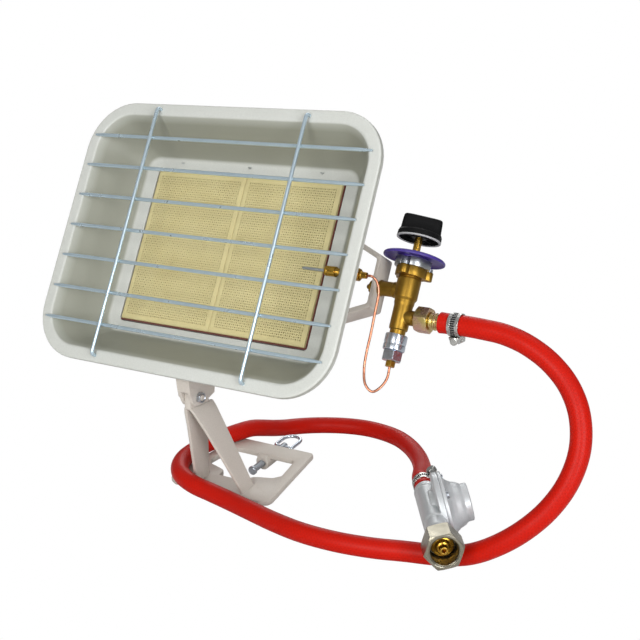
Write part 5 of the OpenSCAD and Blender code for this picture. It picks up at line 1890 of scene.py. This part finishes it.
@dataclass
class HoseClamp(Assembly):
    """A slotted steel band with its worm screw.

    Attributes:
        place: the band's frame, whose Z runs along the hose.
        body: the body that it rides on.
        names: names of the band and the screw, and the nodes that they replace.
        inner: the band's inner radius.
        band: its thickness.
        width: its width.
        turn: angle of the worm screw.
    """

    place: Matrix = field(default_factory=lambda: WORLD)
    body: Body = Body.HEAD
    names: tuple[str, str, str, str] = ("", "", "", "")
    inner: float = 8.05
    band: float = 0.8
    width: float = 9.0
    turn: float = 0.0

    def build(self) -> None:
        """Makes the band and its screw."""
        sides = 132
        slot_low, slot_high, slot_depth = 2.5, 6.5, 0.45
        slotted = -1.0
        out = self.inner + self.band
        rows = [(0.0, self.inner), (0.0, out - 0.25), (0.25, out), (slot_low - 0.1, out), (slot_low, out),
                (slot_low + 0.1, slotted), (slot_high - 0.1, slotted), (slot_high, out),
                (slot_high + 0.1, out), (self.width - 0.25, out), (self.width, out - 0.25),
                (self.width, self.inner)]
        loops = []
        for z, r in rows:
            loop = []
            for k in range(sides):
                a = 2 * pi * k / sides
                rr = r if r != slotted else (out - slot_depth if k % 4 < 2 else out)
                loop.append(polar(rr, a, z))
            loops.append(loop)
        bm = bmesh.new()
        ring_grid(bm, loops, wrap=True)
        band = finish_mesh(self.names[0], bm, self.place, 25.0)
        # Material slot 1 holds painted shade for the slots' floors, which are picked out below.
        dress(band, Finishes.steel, Finishes.slot_shade)
        local = (Matrix.Scale(MM, 4) @ self.place).inverted()
        for poly in band.data.polygons:
            p = local @ poly.center
            slot_floor = self.inner + 0.1 < hypot(p.x, p.y) < out - 0.2
            if slot_floor and slot_low + 0.05 < p.z < slot_high - 0.05:
                poly.material_index = 1
        self.keep(band, self.body, Finishes.steel, "steel", self.names[2])
        seat = self.place @ Matrix.Rotation(self.turn, 4, "Z")
        seat = seat @ Matrix.Translation((out + 3, 0, self.width / 2))
        axis = seat @ Matrix.Rotation(pi / 2, 4, "X")
        worm = revolve("worm", [(0, -4), (2.6, -4), (3, -3.5), (3, -2.2), (2.75, -2), (2.75, 3.2), (3, 3.4),
                                (3, 4.6), (2.6, 5), (0, 5)], axis, 40, bevel=0.2)
        head = hexagon("worm_head", 7, 4.98, axis @ Matrix.Translation((0, 0, -9)))
        outline = [(-3.1, -3.9), (-2.0, -3.9), (0.4, -2.7), (0.4, 2.7), (-2.0, 3.9), (-3.1, 3.9)]
        saddle = plate("worm_saddle", [outline], -4.2, 4.8, axis, 0.3)
        screw = merged(self.names[1], [worm, head, saddle])
        self.keep(screw, self.body, Finishes.steel, "steel", self.names[3])


@dataclass
class Regulator(Assembly):
    """The gas regulator: cast body, conical cover, cap, nipple and union nut.

    Attributes:
        barrel: the barrel's radius.
        disc_at, disc: place and radius of the diaphragm housing.
        low, base, top: heights of the housing's underside, its joint and the cover's top.
        boss: radius of the cover's boss.
    """

    barrel: float = 9.5
    disc_at: float = 42.0
    disc: float = 27.5
    low: float = 5.0
    base: float = 10.0
    top: float = 30.0
    boss: float = 14.5

    def build(self) -> None:
        """Makes the regulator's pieces."""
        b = self.barrel
        barrel = revolve("reg_barrel", [
            (0, 0.02), (6.2, 0.02), (7.4, 0.6), (7.4, 2.4), (8.4, 3.4), (b, 6), (b, 11), (8.7, 12),
            (8.7, 15), (b, 16), (b, 68), (8.8, 69.5), (8.8, 73), (b, 74.5), (b, 84), (8.6, 86),
            (8.2, 89.98), (0, 89.98)], along_barrel(0), 72, bevel=0.7)
        place = REGULATOR @ Matrix.Translation((self.disc_at, 0, 0))
        d = self.disc
        bowl = revolve("reg_bowl", [
            (0, 0.5), (15.1, 0.5), (15.3, 3.4), (16.6, self.low), (d - 1.2, self.low),
            (d - 0.2, self.low + 0.7), (d, self.low + 1.4), (d, self.base - 0.5),
            (d - 0.3, self.base - 0.05), (0, self.base - 0.05)], place, 128, bevel=0.6)
        casting = merged("regulator_casting", [barrel, bowl])
        self.keep(casting, Body.STAND, Finishes.cast, "cast", "regulator_body")
        cover = revolve("regulator_bonnet", [
            (0, self.top - 3.6), (9.05, self.top - 3.6), (9.05, self.top - 0.3), (9.4, self.top),
            (self.boss - 0.8, self.top), (self.boss, self.top - 0.8), (self.boss, self.top - 4.6),
            (self.boss + 0.6, self.top - 5.6), (self.boss + 2, self.top - 7.4), (17.9, 18.6), (19.9, 15.6),
            (22.4, 13.5), (24.0, 13), (d - 0.7, 13), (d, 12.4), (d, self.base + 0.5),
            (d - 0.3, self.base + 0.05), (0, self.base + 0.05)], place, 128, bevel=0.7)
        self.keep(cover, Body.STAND, Finishes.cast, "cast", "regulator_cover")
        cap = revolve("regulator_cap", [(0, 28.2), (3.4, 28.2), (3.8, 28.6), (7.9, 28.7), (8.6, 28.9),
                                        (9, 28.4), (9, 26.52), (0, 26.52)], place, 64, bevel=0.2)
        self.keep(cap, Body.STAND, Finishes.cast, "cast", "adjuster_cap")
        nipple = revolve("cone_nipple", [
            (0, 106), (1.6, 106), (1.6, 112.3), (2.7, 112.3), (3.1, 111.8), (3.1, 107.2), (4.3, 106.7),
            (5.6, 104.2), (7.6, 103.6), (8.4, 102.6), (8.5, 97.5), (8.2, 97.3), (7, 97.3), (7, 90.02),
            (0, 90.02)], along_barrel(0), 56, bevel=0.2)
        self.keep(nipple, Body.STAND, Finishes.brass, "brass", "inlet_nipple")
        nut = hexagon("cylinder_nut", 26, 20, along_barrel(94), bore=10.5, sides=96, thread=1.8, floor=3)
        self.keep(nut, Body.NUT, Finishes.nickel, "nickel", "union_nut")


@dataclass
class CarriedNodes(Assembly):
    """CAD nodes whose shape is right, which get their finish here.

    Attributes:
        finishes: the finish of each node.
    """

    finishes: dict[str, Finish] = field(default_factory=lambda: {
        "tile_gasket": Finishes.strip, "housing_screws": Finishes.screw_zinc,
        "baffle_plate": Finishes.housing, "venturi_tube": Finishes.housing,
        "bracket_screws": Finishes.screw_zinc, "gas_jet": Finishes.brass, "valve_plug": Finishes.old_brass,
        "collar_screws": Finishes.screw_zinc, "valve_stem": Finishes.brass,
        "head_bracket": Finishes.warm_paint, "head_bracket_screws": Finishes.screw_zinc,
        "regulator_diaphragm": Finishes.rubber, "regulator_spring": Finishes.steel,
        "cover_screws": Finishes.screw_zinc})

    def build(self) -> None:
        """Assigns the finishes."""
        for node, finish in self.finishes.items():
            obj = bpy.data.objects[node]
            for slot in obj.material_slots:
                slot.material = finish.build()


# Studio --------------------------------------------------------------------------------------------

@dataclass
class Studio:
    """Camera, floor, world and lights.

    Attributes:
        eye: the camera's place in millimetres.
        azimuth, elevation: the camera's direction in degrees.
        lens: focal length on a 36 mm sensor.
    """

    eye: Point = (538.0, -699.3, 371.0)
    azimuth: float = 31.89
    elevation: float = 14.01
    lens: float = 63.0

    def camera(self) -> None:
        """Sets the camera."""
        data = bpy.data.cameras.new("view_camera")
        data.lens = self.lens
        data.sensor_width = 36.0
        data.clip_start = 0.01
        data.clip_end = 50.0
        obj = bpy.data.objects.new("view_camera", data)
        obj.location = Vector(self.eye) * MM
        obj.rotation_euler = (radians(90 - self.elevation), 0.0, radians(self.azimuth))
        bpy.context.scene.collection.objects.link(obj)
        bpy.context.scene.camera = obj

    def floor(self) -> None:
        """Lays the pale floor, which reads as plain white to the camera."""
        bm = bmesh.new()
        bmesh.ops.create_grid(bm, x_segments=24, y_segments=24, size=4.0)
        mesh = bpy.data.meshes.new("floor")
        bm.to_mesh(mesh)
        bm.free()
        obj = bpy.data.objects.new("floor", mesh)
        obj.location.z = -0.0006
        bpy.context.scene.collection.objects.link(obj)
        material = bpy.data.materials.new("paper_floor")
        material.use_nodes = True
        material.node_tree.nodes.clear()
        n = Nodes(material.node_tree)
        tone = n.mix(n.noise(n.object_coords(), 6.0), (0.70, 0.70, 0.70, 1), (0.74, 0.74, 0.74, 1))
        paper = n.add("BsdfPrincipled", {"Base Color": tone, "Roughness": 0.9})
        glow = n.add("Emission", {"Color": (1, 1, 1, 1), "Strength": 1.0})
        path = n.add("LightPath")
        mixed = n.add("MixShader", {0: path.outputs["Is Camera Ray"], 1: paper.outputs[0],
                                    2: glow.outputs[0]})
        n.add("OutputMaterial", {"Surface": mixed.outputs[0]})
        mesh.materials.append(material)

    def world(self) -> None:
        """Fills the room with soft light that is darker towards the horizon."""
        world = bpy.data.worlds.new("studio")
        bpy.context.scene.world = world
        world.use_nodes = True
        world.node_tree.nodes.clear()
        n = Nodes(world.node_tree)
        up = n.add("SeparateXYZ", {0: n.add("TexCoord").outputs["Generated"]}).outputs["Z"]
        tone = n.ramp(up, -0.1, 0.8, 0.2, 0.86)
        room = n.add("Background", {"Color": n.grey(tone), "Strength": 0.52})
        white = n.add("Background", {"Color": (1, 1, 1, 1), "Strength": 1.0})
        path = n.add("LightPath")
        mixed = n.add("MixShader", {0: path.outputs["Is Camera Ray"], 1: room.outputs[0],
                                    2: white.outputs[0]})
        n.add("OutputWorld", {"Surface": mixed.outputs[0]})

    def light(self, name: str, place: Point, aim: Point, power: float, size: Flat,
              colour: Point = (1.0, 1.0, 1.0)) -> None:
        """Hangs one soft box.

        Args:
            name: the light's name.
            place, aim: where it hangs and what it points at, in metres.
            power: its power in watts.
            size: its two sides in metres.
            colour: its colour.
        """
        data = bpy.data.lights.new(name, "AREA")
        data.shape = "RECTANGLE"
        data.size, data.size_y = size
        data.energy = power
        data.color = colour
        obj = bpy.data.objects.new(name, data)
        obj.location = place
        obj.rotation_euler = (Vector(aim) - Vector(place)).to_track_quat("-Z", "Y").to_euler()
        bpy.context.scene.collection.objects.link(obj)

    def build(self) -> None:
        """Makes the studio."""
        self.camera()
        self.floor()
        self.world()
        self.light("key_box", (0.3, -1.85, 0.7), (0.05, 0.0, 0.17), 20.0, (0.8, 0.8), (1.0, 0.99, 0.97))
        self.light("side_box", (1.35, -0.85, 0.45), (0.15, 0.0, 0.12), 13.0, (0.5, 0.9), (0.97, 0.98, 1.0))
        self.light("top_box", (0.1, 0.5, 1.5), (0.05, 0.05, 0.1), 3.0, (1.0, 0.6))
        self.light("back_box", (-0.6, 1.4, 0.9), (0.05, 0.0, 0.15), 5.0, (0.9, 0.6))
        bpy.context.scene.view_settings.view_transform = "Standard"


class Heater:
    """The whole heater."""

    def __init__(self) -> None:
        """Lists the sub-assemblies."""
        self.hose = Hose()
        start = self.hose.start
        self.inlet_clamp = HoseClamp(
            place=Matrix.Translation(start + Vector((8, 0, 0))) @ Matrix.Rotation(pi / 2, 4, "Y"),
            body=Body.HEAD, names=("inlet_band", "inlet_worm", "inlet_clamp_band", "inlet_clamp_screw"),
            inner=8.05)
        self.outlet_clamp = HoseClamp(
            place=along_barrel(-14), body=Body.STAND,
            names=("outlet_band", "outlet_worm", "outlet_clamp_band", "outlet_clamp_screw"), inner=7.95,
            turn=radians(200))
        self.regulator = Regulator()
        self.rest: list[Assembly] = [
            ReflectorDish(), HousingShell(), BurnerTiles(), Guard(), Thermocouple(), Valve(), ControlKnob(),
            ValveBracket(), Stand(), HingeAndClamp(), CarriedNodes()]

    def build(self) -> None:
        """Makes every piece, the hose first."""
        self.hose.build()
        self.outlet_clamp.build()
        self.inlet_clamp.build()
        self.regulator.build()
        nodes = [bpy.data.objects[n] for n in ("cover_screws", "regulator_diaphragm", "regulator_spring")]
        self.hose.declare([*self.outlet_clamp.made, *self.regulator.made, *nodes])
        for assembly in self.rest:
            assembly.build()


def main() -> None:
    """Makes the studio and the heater."""
    Studio().build()
    Heater().build()


if __name__ == "__main__":
    main()
